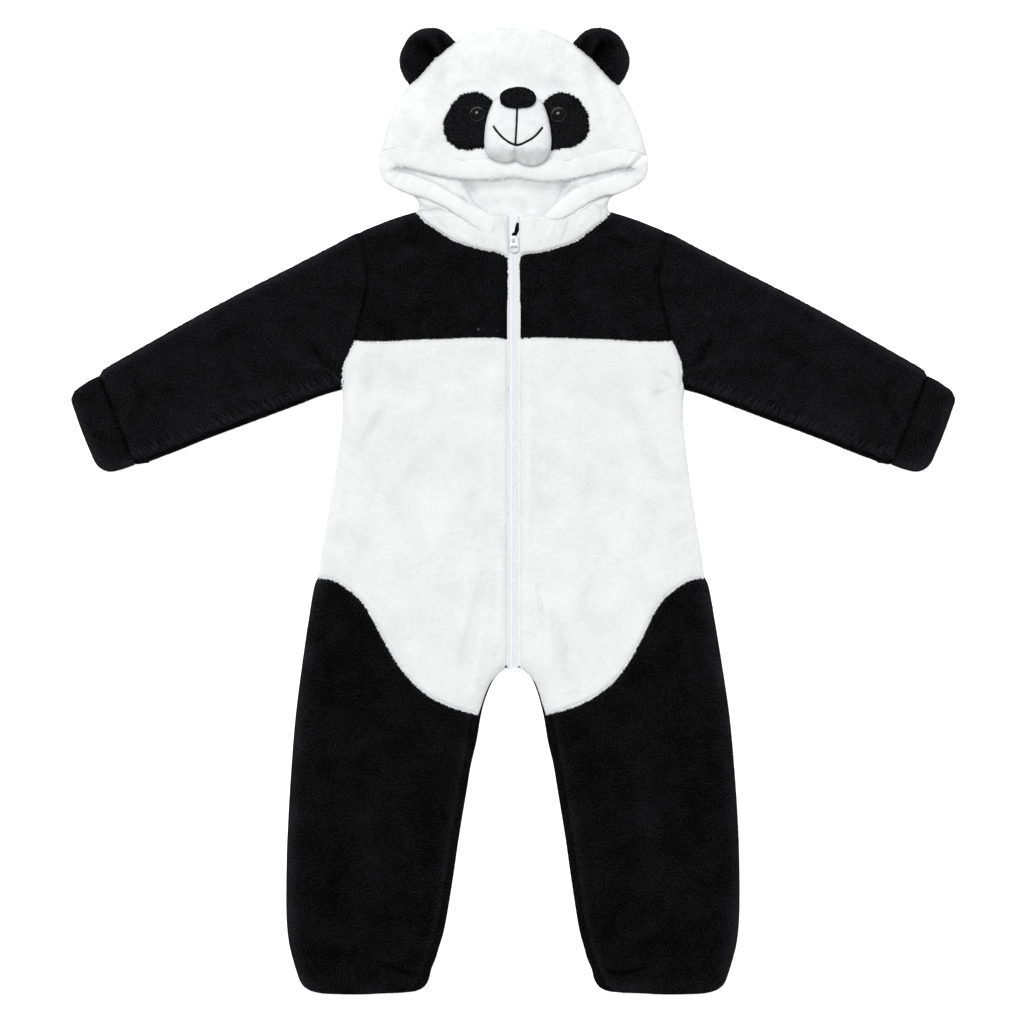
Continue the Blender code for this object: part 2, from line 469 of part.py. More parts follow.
# ---------------------------------------------------------------- neck, hood and its mouth
for side in (LEFT, RIGHT):
    word = NAMES[side]
    edge = ZIP_EDGE[side]
    seam = moved(NECK_SEAM, (60.0, 400.0))
    seam[-1] = (edge, seam[-1][1])
    top = list(NECK_TOP)
    top[-1] = (edge, top[-1][1])
    grid = []
    for a, b in zip(seam, top):
        row = []
        for c in range(5):
            t = c / 4
            x, y = a[0] + (b[0] - a[0]) * t, a[1] + (b[1] - a[1]) * t
            high = 6.8 + 4.8 * rise(106.0 - x, 34.0)
            row.append((side * x, y, front_top(x, y) * (1 - rise(t, 0.6)) + high * rise(t, 0.6)))
        grid.append(row)
    shell(f"neck_{word}", grid, WHITE)

    rows = (323.0, 330.0, 337.0, 343.1, 347.6, 353.0, 358.0, 364.0, 372.0, 381.0, 395.0, 412.0, 430.0, 448.0, 465.0, 481.0, 497.0, 510.0, 520.0, 526.5, HALF_LENGTH)
    rungs = [((SEAM / 2, 320.8), (102.0, 329.3))] + [((SEAM / 2, y + (4.0 if y < 340.0 else 0.0)), (at(HOOD, y), y)) for y in rows[2:]]
    panel(f"hood_back_{word}", rungs, side, lambda x, y: WALL, WHITE, 2)

    rungs = [((SEAM / 2 if y > ZIP_TOP + 3.0 else LINING_SLOT, y), (x, y)) for y, x in LINING]
    panel(f"hood_lining_{word}", rungs, side, lambda x, y: LINING_TOP, WHITE, 2, LINING_WALL)

    crown = samples(HOOD, HALF_LENGTH, 403.0, 60)
    steps = [0.0]
    for a, b in zip(crown, crown[1:]):
        steps.append(steps[-1] + (Vector(b) - Vector(a)).length)
    start = (SEAM / 2, HALF_LENGTH)
    rungs = []
    for k in range(10):
        u = k / 9
        want = steps[-1] * u
        i = max(j for j in range(len(steps)) if steps[j] <= want + 1e-6)
        i = min(i, len(crown) - 2)
        t = (want - steps[i]) / (steps[i + 1] - steps[i])
        out = Vector(crown[i]) + (Vector(crown[i + 1]) - Vector(crown[i])) * t
        out = Vector(start) if k == 0 else out
        s = u * (len(FACE_LOW) - 1)
        j = min(int(s), len(FACE_LOW) - 2)
        low = Vector(FACE_LOW[j]) + (Vector(FACE_LOW[j + 1]) - Vector(FACE_LOW[j])) * (s - j)
        low.x = SEAM / 2 if k == 0 else low.x
        rungs.append((tuple(low), tuple(out)))
    panel(f"hood_face_{word}", rungs, side, hood_top, WHITE, 8, HOOD_WALL)

    rings = []
    for ox, oy, ix, iy, low, high in BRIM:
        ring = []
        for k in range(8):
            a = 2 * math.pi * k / 8
            s = 0.5 - 0.5 * math.cos(a)
            z = (low + high) / 2 + (high - low) / 2 * math.copysign(abs(math.sin(a)) ** 0.8, math.sin(a))
            ring.append((side * max(ox + (ix - ox) * s, SEAM / 2), oy + (iy - oy) * s, z))
        rings.append(ring)
    loft(f"brim_{word}", rings, WHITE, side)

    # ---------------------------------------------------------------- ears and face
    for layer, rings in (("front", EAR_FRONT_RINGS), ("back", EAR_BACK_RINGS)):
        loft(f"ear_{layer}_{word}", [[(x, y, z) for x, y in polar(EAR, EAR_CENTRE, side, share)] for share, z in rings], BLACK, side)
    pad(f"eye_patch_{word}", PATCH, PATCH_CENTRE, PATCH_RINGS, SHORT_BLACK, side, FACE_X)
    profile = bpy.data.meshes.new(f"eye_{word}")
    profile.from_pydata([Vector((r, 0.0, z)) * MM for r, z in reversed(EYE)], [(i, i + 1) for i in range(len(EYE) - 1)], [])
    profile.materials.append(GLOSS)
    eye = bpy.data.objects.new(f"eye_{word}", profile)
    eye.location = Vector((FACE_X + side * EYE_CENTRE[0], EYE_CENTRE[1], EYE_BASE)) * MM
    COLLECTION.objects.link(eye)
    turn = eye.modifiers.new("turn", "SCREW")
    turn.steps = turn.render_steps = 20
    turn.use_merge_vertices = True
    turn.merge_threshold = 0.00001
    turn.use_smooth_shade = True

muzzle = pad("muzzle", MUZZLE, MUZZLE_CENTRE, MUZZLE_RINGS, SHORT_WHITE, 1, FACE_X)


def ball(name, grow, where, colour=None):
    bpy.ops.mesh.primitive_uv_sphere_add(segments=20, ring_count=10, radius=1.0)
    made = bpy.context.active_object
    made.name = name
    for v in made.data.vertices:
        v.co = Vector([v.co[i] * (NOSE_HALF[i] + grow) * MM for i in range(3)])
    made.rotation_euler = (math.radians(NOSE_TILT), 0.0, 0.0)
    made.location = Vector(NOSE_CENTRE) * MM
    for owner in list(made.users_collection):
        owner.objects.unlink(made)
    where.objects.link(made)
    if colour:
        made.data.materials.append(colour)
        made.data.shade_smooth()
    return made


nose = ball("nose", 0.0, COLLECTION, BLACK)
room = ball("nose_room", 0.4, CUTTERS)
room.hide_render = True
room.display_type = "WIRE"
cut = muzzle.modifiers.new("nose_seat", "BOOLEAN")
cut.object = room
cut.operation = "DIFFERENCE"
cut.solver = "EXACT"

# ---------------------------------------------------------------- the zip
# columns: y, inner edge of the left tape, inner edge of the right tape. The chain is open above the slider.
CHAIN = ((ZIP_TOP, 2.6, 0.2), (312.0, 2.9, 0.9), (302.0, 3.0, 1.5), (294.0, 0.2, 0.2), (60.0, 0.2, 0.2), (ZIP_BOTTOM, 0.2, 0.2))
TAPE_LOW, TAPE_TOP, COIL_TOP, COIL_WIDTH = 5.0, 6.0, 6.9, 1.4
BINDING_LOW, BINDING_TOP = 6.4, 9.2
for side in (LEFT, RIGHT):
    word = NAMES[side]
    rings = []
    for y, left, right in CHAIN:
        inner = left if side > 0 else right
        ring = ((inner, TAPE_LOW), (TAPE_OUTER, TAPE_LOW), (TAPE_OUTER, TAPE_TOP), (inner + COIL_WIDTH + 0.3, TAPE_TOP), (inner + COIL_WIDTH, COIL_TOP - 0.3), (inner + COIL_WIDTH - 0.4, COIL_TOP), (inner + 0.3, COIL_TOP), (inner, COIL_TOP - 0.4))
        rings.append([(side * x, y, z) for x, z in ring])
    loft(f"zip_tape_{word}", rings, TAPE, side)
    rings = []
    a, b = BINDING_EDGE[side], ZIP_EDGE[side] - SEAM
    for y in (ZIP_TOP, 200.0, 60.0, -60.0, ZIP_BOTTOM):
        ring = ((a, BINDING_LOW), (b, BINDING_LOW), (b, BINDING_TOP - 0.5), (b - 0.5, BINDING_TOP), (a + 0.7, BINDING_TOP), (a, BINDING_TOP - 0.7))
        rings.append([(side * x, y, z) for x, z in ring])
    loft(f"zip_binding_{word}", rings, WHITE, side)


def block(name, low, high, where):
    bpy.ops.mesh.primitive_cube_add(size=1.0)
    made = bpy.context.active_object
    made.name = name
    for v in made.data.vertices:
        v.co = Vector([((low[i] + high[i]) / 2 + v.co[i] * (high[i] - low[i])) * MM for i in range(3)])
    for owner in list(made.users_collection):
        owner.objects.unlink(made)
    where.objects.link(made)
    return made


# columns: y, half width of the slider's plates
PLATE = ((302.6, 3.2), (300.8, 4.0), (297.0, 4.0), (290.6, 3.3), (289.8, 2.4))


def plate(name, low, high, where):
    rings = []
    for z, inset in ((low, 0.3), (low + 0.3, 0.0), (high - 0.3, 0.0), (high, 0.3)):
        ring = [(SLIDER_X + w - inset, y) for y, w in PLATE] + [(SLIDER_X - w + inset, y) for y, w in reversed(PLATE)]
        rings.append([(x, y, z) for x, y in ring])
    made = loft(name, rings, METAL, -1)
    COLLECTION.objects.unlink(made)
    where.objects.link(made)
    return made


slider = plate("zip_slider", 7.4, 8.6, COLLECTION)
under = plate("slider_under", 3.4, 4.6, CUTTERS)
post = block("slider_post", (SLIDER_X - 1.1, 299.6, 4.0), (SLIDER_X + 1.1, 302.0, 8.0), CUTTERS)
arch = block("slider_arch", (SLIDER_X - 0.7, 295.4, 8.0), (SLIDER_X + 0.7, 302.6, 12.8), CUTTERS)
arch_hole = block("slider_arch_hole", (SLIDER_X - 2.0, 296.4, 8.6), (SLIDER_X + 2.0, 301.6, 11.8), CUTTERS)
for tool, operation in ((under, "UNION"), (post, "UNION"), (arch, "UNION")):
    join = slider.modifiers.new(tool.name, "BOOLEAN")
    join.object = tool
    join.operation = operation
    join.solver = "EXACT"
    tool.hide_render = True
    tool.display_type = "WIRE"
hole = arch.modifiers.new("hole", "BOOLEAN")
hole.object = arch_hole
hole.operation = "DIFFERENCE"
hole.solver = "EXACT"
arch_hole.hide_render = True
arch_hole.display_type = "WIRE"

# the pull tab: a flat outline with a window for the arch and an oval hole, its origin on its axis
hinge = bpy.data.objects.new("pull_axis", None)
hinge.location = Vector((SLIDER_X, PIVOT_Y, PIVOT_Z)) * MM
COLLECTION.objects.link(hinge)
tab = bpy.data.curves.new("zip_pull", "CURVE")
tab.dimensions = "2D"
tab.fill_mode = "BOTH"
tab.extrude = 0.65 * MM
outline = [(w, y) for y, w in PULL] + [(-w, y) for y, w in reversed(PULL)]
window = [(1.2, 299.4), (1.2, 294.3), (-1.2, 294.3), (-1.2, 299.4)]
oval = [(3.6 * math.cos(2 * math.pi * k / 14), 289.3 + 2.1 * math.sin(2 * math.pi * k / 14)) for k in range(14)]
for points in (outline, window, oval):
    spline = tab.splines.new("POLY")
    spline.points.add(len(points) - 1)
    for point, (x, y) in zip(spline.points, points):
        point.co = (x * MM, (y - PIVOT_Y) * MM, 0.0, 1.0)
    spline.use_cyclic_u = True
tab.materials.append(METAL)
pull = bpy.data.objects.new("zip_pull", tab)
pull.parent = hinge
COLLECTION.objects.link(pull)
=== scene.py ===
"""The panda onesie laid flat, in plush: every cloth panel as a dense shell with its pile, folds and seams.

Millimetres inside the script, metres in the scene. +X is the wearer's left, +Y points to the crown of the hood,
and the garment lies on z = 0. side = +1 is the wearer's left and -1 the right.
"""

import math

import bpy
import numpy as np
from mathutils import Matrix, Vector
from mathutils.geometry import delaunay_2d_cdt


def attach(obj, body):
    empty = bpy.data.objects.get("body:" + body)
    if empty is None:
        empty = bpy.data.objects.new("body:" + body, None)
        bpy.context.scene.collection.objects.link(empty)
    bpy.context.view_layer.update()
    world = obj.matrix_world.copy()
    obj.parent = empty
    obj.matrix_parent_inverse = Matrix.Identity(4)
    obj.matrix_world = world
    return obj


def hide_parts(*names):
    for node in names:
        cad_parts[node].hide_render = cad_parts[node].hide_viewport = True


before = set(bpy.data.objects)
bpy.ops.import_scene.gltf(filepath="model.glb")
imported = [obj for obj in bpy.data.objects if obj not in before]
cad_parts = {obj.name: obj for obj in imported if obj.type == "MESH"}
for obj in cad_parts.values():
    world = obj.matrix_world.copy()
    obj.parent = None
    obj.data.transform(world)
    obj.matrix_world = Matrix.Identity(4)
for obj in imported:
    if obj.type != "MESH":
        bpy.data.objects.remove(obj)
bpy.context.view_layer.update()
MM = 0.001
LEFT, RIGHT = 1, -1
NAMES = {LEFT: "left", RIGHT: "right"}

# ---------------------------------------------------------------- camera, floor and light
camera_data = bpy.data.cameras.new("camera")
camera_data.type = "ORTHO"
camera_data.ortho_scale = 1.1264
camera_data.clip_end = 20.0
camera = bpy.data.objects.new("camera", camera_data)
camera.location = (-0.00132, -0.00132, 3.0)
bpy.context.scene.collection.objects.link(camera)
bpy.context.scene.camera = camera
bpy.context.scene.view_settings.view_transform = "Standard"
bpy.context.scene.view_settings.look = "None"

world = bpy.data.worlds.new("studio")
world.use_nodes = True
world.node_tree.nodes["Background"].inputs["Color"].default_value = (1.0, 1.0, 1.0, 1.0)
world.node_tree.nodes["Background"].inputs["Strength"].default_value = 0.42
bpy.context.scene.world = world


def lamp(name, kind, energy, towards, size, colour=(1.0, 1.0, 1.0)):
    made = bpy.data.lights.new(name, kind)
    made.energy = energy
    made.color = colour
    if kind == "SUN":
        made.angle = size
    else:
        made.shape = "DISK"
        made.size = size
    holder = bpy.data.objects.new(name, made)
    place = Vector(towards)
    holder.location = place
    holder.rotation_mode = "QUATERNION"
    holder.rotation_quaternion = (-place).to_track_quat("-Z", "Y")
    bpy.context.scene.collection.objects.link(holder)
    return holder


lamp("key", "SUN", 2.5, (-0.27, 0.64, 2.1), 0.56)


# ---------------------------------------------------------------- materials
def nodes_of(name):
    made = bpy.data.materials.new(name)
    made.use_nodes = True
    tree = made.node_tree
    return made, tree, tree.nodes["Principled BSDF"]


def link(tree, a, b):
    tree.links.new(a, b)


def math_node(tree, operation, a, b=None, c=None):
    node = tree.nodes.new("ShaderNodeMath")
    node.operation = operation
    for i, v in enumerate((a, b, c)):
        if v is None:
            continue
        if isinstance(v, (int, float)):
            node.inputs[i].default_value = v
        else:
            link(tree, v, node.inputs[i])
    return node.outputs[0]


def mix_colour(tree, factor, low, high):
    node = tree.nodes.new("ShaderNodeMix")
    node.data_type = "RGBA"
    node.clamp_factor = True
    for socket, v in ((node.inputs[6], low), (node.inputs[7], high)):
        if isinstance(v, tuple):
            socket.default_value = (*v, 1.0)
        else:
            link(tree, v, socket)
    link(tree, factor, node.inputs[0])
    return node.outputs[2]


def attribute(tree, name):
    node = tree.nodes.new("ShaderNodeAttribute")
    node.attribute_name = name
    return node


def gabor(tree, vector, angle, scale, frequency, grain):
    node = tree.nodes.new("ShaderNodeTexGabor")
    node.gabor_type = "2D"
    node.inputs["Scale"].default_value = scale
    node.inputs["Frequency"].default_value = frequency
    node.inputs["Anisotropy"].default_value = grain
    link(tree, vector, node.inputs["Vector"])
    link(tree, angle, node.inputs[4])
    return node.outputs["Value"]


def noise(tree, vector, scale, detail=2.0, roughness=0.5, warp=0.0):
    node = tree.nodes.new("ShaderNodeTexNoise")
    node.inputs["Scale"].default_value = scale
    node.inputs["Detail"].default_value = detail
    node.inputs["Roughness"].default_value = roughness
    node.inputs["Distortion"].default_value = warp
    link(tree, vector, node.inputs["Vector"])
    return node.outputs["Fac"]


def ramp(tree, value, low, high, to_low=0.0, to_high=1.0):
    node = tree.nodes.new("ShaderNodeMapRange")
    node.inputs["From Min"].default_value = low
    node.inputs["From Max"].default_value = high
    node.inputs["To Min"].default_value = to_low
    node.inputs["To Max"].default_value = to_high
    link(tree, value, node.inputs["Value"])
    return node.outputs["Result"]


def plush(name, deep, tip, sheen, bump, middle, contrast, mottle, fine=1.0):
    """Long pile: curled streaks that follow the nap's direction over a fine grain, with slow clumps.

    The mesh attribute tone carries painted light: a painted highlight where the pile rolls over an edge and on ridges,
    painted shade in hollows and seams."""
    made, tree, shader = nodes_of(name)
    skin, nap, lit = attribute(tree, "skin"), attribute(tree, "nap"), attribute(tree, "tone")
    where = skin.outputs["Vector"]
    small = gabor(tree, where, nap.outputs["Fac"], 470.0 * fine, 1.1, 0.7)
    turned = math_node(tree, "ADD", nap.outputs["Fac"], 0.6)
    large = gabor(tree, where, turned, 260.0 * fine, 1.1, 0.7)
    grain = noise(tree, where, 760.0 * fine, 2.0, 0.7, 0.8)
    height = math_node(tree, "ADD", math_node(tree, "MULTIPLY", small, 0.29), math_node(tree, "MULTIPLY", large, 0.24))
    height = math_node(tree, "ADD", height, math_node(tree, "MULTIPLY", grain, 0.47))
    clump = noise(tree, where, 62.0, 3.0, 0.6, 0.9)
    slow = noise(tree, where, 26.0, 3.0, 0.5, 0.4)
    slow = math_node(tree, "ADD", math_node(tree, "MULTIPLY", clump, 0.5), math_node(tree, "MULTIPLY", slow, 0.5))
    tone = math_node(tree, "MULTIPLY_ADD", math_node(tree, "SUBTRACT", height, 0.5), contrast, middle)
    tone = math_node(tree, "ADD", tone, math_node(tree, "MULTIPLY", math_node(tree, "SUBTRACT", slow, 0.5), mottle))
    # add the painted highlight and painted shade carried by the tone attribute
    tone = math_node(tree, "ADD", tone, lit.outputs["Fac"])
    link(tree, mix_colour(tree, tone, deep, tip), shader.inputs["Base Color"])
    link(tree, ramp(tree, slow, 0.3, 0.7, 0.86, 0.98), shader.inputs["Roughness"])
    shader.inputs["Specular IOR Level"].default_value = 0.03
    shader.inputs["Sheen Weight"].default_value = sheen
    shader.inputs["Sheen Roughness"].default_value = 0.45
    shader.inputs["Sheen Tint"].default_value = (1.0, 1.0, 1.0, 1.0)
    relief = tree.nodes.new("ShaderNodeBump")
    relief.inputs["Strength"].default_value = bump
    relief.inputs["Distance"].default_value = 0.0008
    link(tree, height, relief.inputs["Height"])
    link(tree, relief.outputs["Normal"], shader.inputs["Normal"])
    return made


def tufts_finish(name, deep, tip, sheen):
    """The finish of loose strands: each one has a tone of its own."""
    made, tree, shader = nodes_of(name)
    info = tree.nodes.new("ShaderNodeNewGeometry")
    link(tree, mix_colour(tree, info.outputs["Random Per Island"], deep, tip), shader.inputs["Base Color"])
    shader.inputs["Roughness"].default_value = 0.95
    shader.inputs["Specular IOR Level"].default_value = 0.03
    shader.inputs["Sheen Weight"].default_value = sheen
    shader.inputs["Sheen Roughness"].default_value = 0.45
    return made


def short_pile(name, deep, tip, sheen, bump, base, spread, scale=900.0):
    """Short shorn pile: a fine even grain with a slow mottle."""
    made, tree, shader = nodes_of(name)
    where = tree.nodes.new("ShaderNodeTexCoord").outputs["Object"]
    grain = noise(tree, where, scale, 3.0, 0.6, 0.8)
    slow = noise(tree, where, 120.0, 3.0, 0.6, 0.5)
    tone = math_node(tree, "ADD", ramp(tree, grain, 0.35, 0.65, 0.0, spread), ramp(tree, slow, 0.35, 0.65, 0.0, 0.3))
    # the tone attribute adds painted shade where a piece carries one, as the muzzle does
    tone = math_node(tree, "ADD", math_node(tree, "ADD", tone, attribute(tree, "tone").outputs["Fac"]), base)
    link(tree, mix_colour(tree, tone, deep, tip), shader.inputs["Base Color"])
    link(tree, ramp(tree, slow, 0.3, 0.7, 0.84, 0.97), shader.inputs["Roughness"])
    shader.inputs["Specular IOR Level"].default_value = 0.03
    shader.inputs["Sheen Weight"].default_value = sheen
    shader.inputs["Sheen Roughness"].default_value = 0.4
    relief = tree.nodes.new("ShaderNodeBump")
    relief.inputs["Strength"].default_value = bump
    relief.inputs["Distance"].default_value = 0.0004
    link(tree, grain, relief.inputs["Height"])
    link(tree, relief.outputs["Normal"], shader.inputs["Normal"])
    return made


def woven(name, deep, tip):
    """Zip tape: a close twill."""
    made, tree, shader = nodes_of(name)
    where = tree.nodes.new("ShaderNodeTexCoord").outputs["Object"]
    wave = tree.nodes.new("ShaderNodeTexWave")
    wave.wave_type = "BANDS"
    wave.bands_direction = "DIAGONAL"
    wave.inputs["Scale"].default_value = 900.0
    wave.inputs["Distortion"].default_value = 0.6
    link(tree, where, wave.inputs["Vector"])
    slow = noise(tree, where, 260.0, 2.0)
    tone = math_node(tree, "ADD", math_node(tree, "MULTIPLY", wave.outputs["Fac"], 0.6), math_node(tree, "MULTIPLY", slow, 0.4))
    link(tree, mix_colour(tree, tone, deep, tip), shader.inputs["Base Color"])
    link(tree, ramp(tree, slow, 0.3, 0.7, 0.6, 0.75), shader.inputs["Roughness"])
    relief = tree.nodes.new("ShaderNodeBump")
    relief.inputs["Strength"].default_value = 0.25
    relief.inputs["Distance"].default_value = 0.0002
    link(tree, wave.outputs["Fac"], relief.inputs["Height"])
    link(tree, relief.outputs["Normal"], shader.inputs["Normal"])
    return made


def hard(name, deep, tip, roughness, specular, metallic=0.0, coat=0.0):
    made, tree, shader = nodes_of(name)
    where = tree.nodes.new("ShaderNodeTexCoord").outputs["Object"]
    slow = noise(tree, where, 700.0, 3.0, 0.6)
    link(tree, mix_colour(tree, slow, deep, tip), shader.inputs["Base Color"])
    link(tree, ramp(tree, slow, 0.3, 0.7, roughness * 0.85, roughness * 1.15), shader.inputs["Roughness"])
    shader.inputs["Specular IOR Level"].default_value = specular
    shader.inputs["Metallic"].default_value = metallic
    shader.inputs["Coat Weight"].default_value = coat
    relief = tree.nodes.new("ShaderNodeBump")
    relief.inputs["Strength"].default_value = 0.03
    relief.inputs["Distance"].default_value = 0.0001
    link(tree, slow, relief.inputs["Height"])
    link(tree, relief.outputs["Normal"], shader.inputs["Normal"])
    return made


WHITE = plush("white_plush_pile", (0.50, 0.504, 0.512), (0.80, 0.803, 0.807), 0.05, 0.3, 0.82, 1.5, 0.75)
# a lighter copy of the same white plush for the hood's face and band: painted light
HOOD_WHITE_LIT = plush("white_plush_pile_hood_lit", (0.53, 0.534, 0.542), (0.815, 0.818, 0.822), 0.05, 0.3, 0.85, 1.6, 1.3)
BLACK = plush("black_plush_pile", (0.0003, 0.0003, 0.0004), (0.0178, 0.0180, 0.0198), 0.0, 0.8, 0.145, 3.3, 0.8)
WHITE_TUFT = tufts_finish("white_plush_tufts", (0.75, 0.753, 0.76), (0.83, 0.832, 0.835), 0.05)
BLACK_TUFT = tufts_finish("black_plush_tufts", (0.0012, 0.0012, 0.0015), (0.0088, 0.0089, 0.0098), 0.0)
SHORT_WHITE = short_pile("white_short_pile", (0.52, 0.524, 0.532), (0.80, 0.804, 0.81), 0.05, 0.35, 0.5, 0.36)
SHORT_BLACK = short_pile("black_short_pile", (0.0006, 0.0006, 0.0008), (0.0150, 0.0151, 0.0163), 0.0, 0.6, -0.96, 2.3, 820.0)
RIM_GREY = hard("dark_grey_eye_rim", (0.018, 0.018, 0.020), (0.026, 0.026, 0.028), 0.7, 0.06)
TAPE = woven("zip_tape_twill", (0.70, 0.71, 0.74), (0.80, 0.805, 0.825))
COIL = hard("zip_coil_nylon", (0.66, 0.67, 0.70), (0.76, 0.77, 0.79), 0.4, 0.4)
METAL = hard("painted_zip_metal", (0.60, 0.61, 0.63), (0.66, 0.67, 0.69), 0.32, 0.5, 0.1)
GLOSS = hard("gloss_eye_plastic", (0.0008, 0.0008, 0.0009), (0.0011, 0.0011, 0.0012), 0.06, 0.26)
THREAD = hard("black_thread", (0.0015, 0.0015, 0.0018), (0.005, 0.005, 0.006), 0.6, 0.2)

# ---------------------------------------------------------------- tables, mm (x is for the wearer's left)
SHOULDER = [(106.6, 328.4), (120.0, 324.6), (137.0, 318.9), (148.7, 314.3), (157.0, 311.0), (162.0, 309.0), (168.5, 305.8)]
ARMHOLE = [(168.5, 305.0), (164.5, 280.0), (160.4, 257.4), (163.8, 232.0), (169.8, 207.2), (174.6, 186.2), (181.2, 171.3), (186.2, 160.3), (188.0, 149.2), (187.6, 133.3)]
ARMHOLE_LEFT = [(168.5, 305.0), (164.5, 280.0), (160.8, 257.4), (163.8, 232.0), (169.8, 207.2), (174.6, 186.2), (180.6, 173.2), (184.9, 160.3), (185.6, 149.2), (184.5, 133.3)]
SLEEVE_TOP = [(168.7, 306.2), (174.6, 304.3), (181.2, 301.0), (187.8, 297.5), (201.0, 290.4), (212.0, 284.7), (234.0, 273.3), (256.5, 261.8), (308.2, 235.7), (356.6, 209.5), (405.6, 181.7), (418.8, 174.2), (432.0, 166.7), (445.2, 159.1), (451.6, 154.9), (455.0, 148.6)]
SLEEVE_LOW = [(185.4, 134.0), (210.0, 127.0), (234.5, 117.5), (287.3, 97.7), (340.1, 77.9), (379.7, 62.0), (399.0, 54.8), (405.6, 52.4), (412.2, 51.2), (418.0, 51.6)]
CUFF_SEAM = [(455.0, 148.0), (437.0, 101.0), (418.0, 51.6)]
CUFF_TOP = [(455.0, 148.6), (465.0, 144.0), (471.6, 139.9), (478.2, 135.3), (481.4, 132.9)]
CUFF_RIM = [(481.4, 132.9), (483.2, 130.4), (484.1, 126.6), (483.6, 121.6), (480.6, 112.6), (477.6, 103.8), (474.4, 94.9), (471.0, 86.1), (467.4, 77.3), (463.6, 68.5), (459.9, 59.7), (458.0, 55.8)]
CUFF_LOW = [(458.0, 55.8), (455.4, 52.0), (451.2, 48.6), (445.2, 46.2), (438.6, 46.6), (432.0, 48.2), (425.4, 50.4), (417.4, 52.6)]
SIDE = [
    (187.6, 133.3), (187.4, 104.3), (193.8, 51.5), (202.6, -1.3), (211.4, -54.1), (214.6, -72.8), (217.6, -80.5),
    (224.6, -120.1), (232.3, -172.9), (238.9, -225.7), (243.3, -278.5), (246.6, -331.3), (248.8, -384.1), (248.8, -450.1),
    (246.0, -476.5), (241.4, -495.0), (237.4, -508.0), (232.8, -519.6), (225.8, -526.1), (212.8, -530.1), (190.8, -531.4),
    (165.0, -531.6), (145.0, -530.6), (121.5, -529.6), (106.4, -527.6), (98.0, -523.0), (93.0, -514.7), (90.6, -504.2),
    (85.5, -491.5), (82.0, -479.6), (77.0, -463.3), (67.7, -410.5), (60.0, -357.7), (51.2, -304.9), (46.8, -278.5),
    (40.6, -252.1), (36.2, -225.7), (33.0, -212.5), (28.6, -199.3), (23.0, -186.9), (15.5, -178.5), (8.8, -173.4), (0.0, -173.0),
]
HIP, CROTCH_END = (214.2, -73.4), (38.7, -224.1)
FRONT_SEAM = [HIP, (197.1, -76.6), (180.6, -87.1), (167.4, -98.7), (157.5, -113.5), (144.3, -138.3), (131.1, -161.4), (121.2, -176.2), (108.0, -191.1), (91.5, -204.3), (71.7, -214.2), (51.9, -220.8), CROTCH_END]
CROTCH = [CROTCH_END, (36.8, -218.6), (34.3, -211.0), (30.2, -199.3), (25.2, -188.6), (21.5, -184.3), (15.4, -178.2), (8.8, -172.9)]
YOKE_SEAM = [(8.0, 188.0), (11.0, 188.7), (19.8, 189.6), (45.8, 189.6), (71.7, 188.4), (97.7, 187.9), (123.6, 186.5), (154.8, 185.3), (174.6, 186.2)]
ZIP_EDGE = {LEFT: 6.8, RIGHT: 5.6}
NECK_SEAM = {
    RIGHT: [(106.6, 328.4), (98.5, 318.8), (84.9, 309.3), (65.9, 297.1), (49.6, 291.1), (33.3, 286.6), (15.6, 283.4), (6.4, 278.0)],
    LEFT: [(107.2, 328.6), (99.7, 320.2), (86.1, 309.3), (69.9, 297.1), (50.8, 290.0), (29.2, 283.9), (10.4, 281.4), (7.4, 275.2)],
}
INNER_SEAM = [(44.0, -226.0), (50.5, -262.0), (57.8, -304.0), (66.6, -357.7), (74.4, -410.5), (83.6, -462.0), (89.4, -482.0), (96.0, -500.0), (99.4, -510.0), (103.0, -517.0)]
HOOD_LINE = {
    RIGHT: [(0.4, 531.3), (12.0, 531.6), (28.8, 529.9), (49.4, 523.5), (62.7, 515.7), (74.0, 507.0), (86.4, 496.8), (96.6, 485.4), (104.8, 476.2), (113.0, 469.0), (121.2, 457.7), (129.5, 443.4), (135.6, 429.0), (140.7, 414.6), (143.8, 402.3), (146.6, 393.0)],
    LEFT: [(0.4, 531.3), (12.0, 531.6), (30.0, 529.6), (50.4, 523.0), (63.2, 515.4), (74.8, 506.6), (87.0, 496.4), (97.4, 485.0), (105.4, 475.8), (113.8, 468.2), (121.8, 457.2), (129.8, 443.2), (136.0, 428.8), (140.9, 414.6), (144.2, 402.3), (147.2, 391.0)],
}
# the stitched line between the hood's face and the band round its mouth
BRIM_LINE = {
    RIGHT: [(0.0, 383.7), (14.5, 384.2), (29.9, 384.9), (51.2, 384.5), (72.5, 387.6), (93.7, 392.6), (115.0, 397.2), (133.0, 398.4), (141.5, 396.6), (146.6, 393.0)],
    LEFT: [(0.0, 383.7), (18.5, 383.7), (40.3, 384.5), (65.8, 385.6), (87.0, 390.8), (108.4, 395.6), (129.6, 395.6), (140.0, 393.6), (147.2, 391.0)],
}
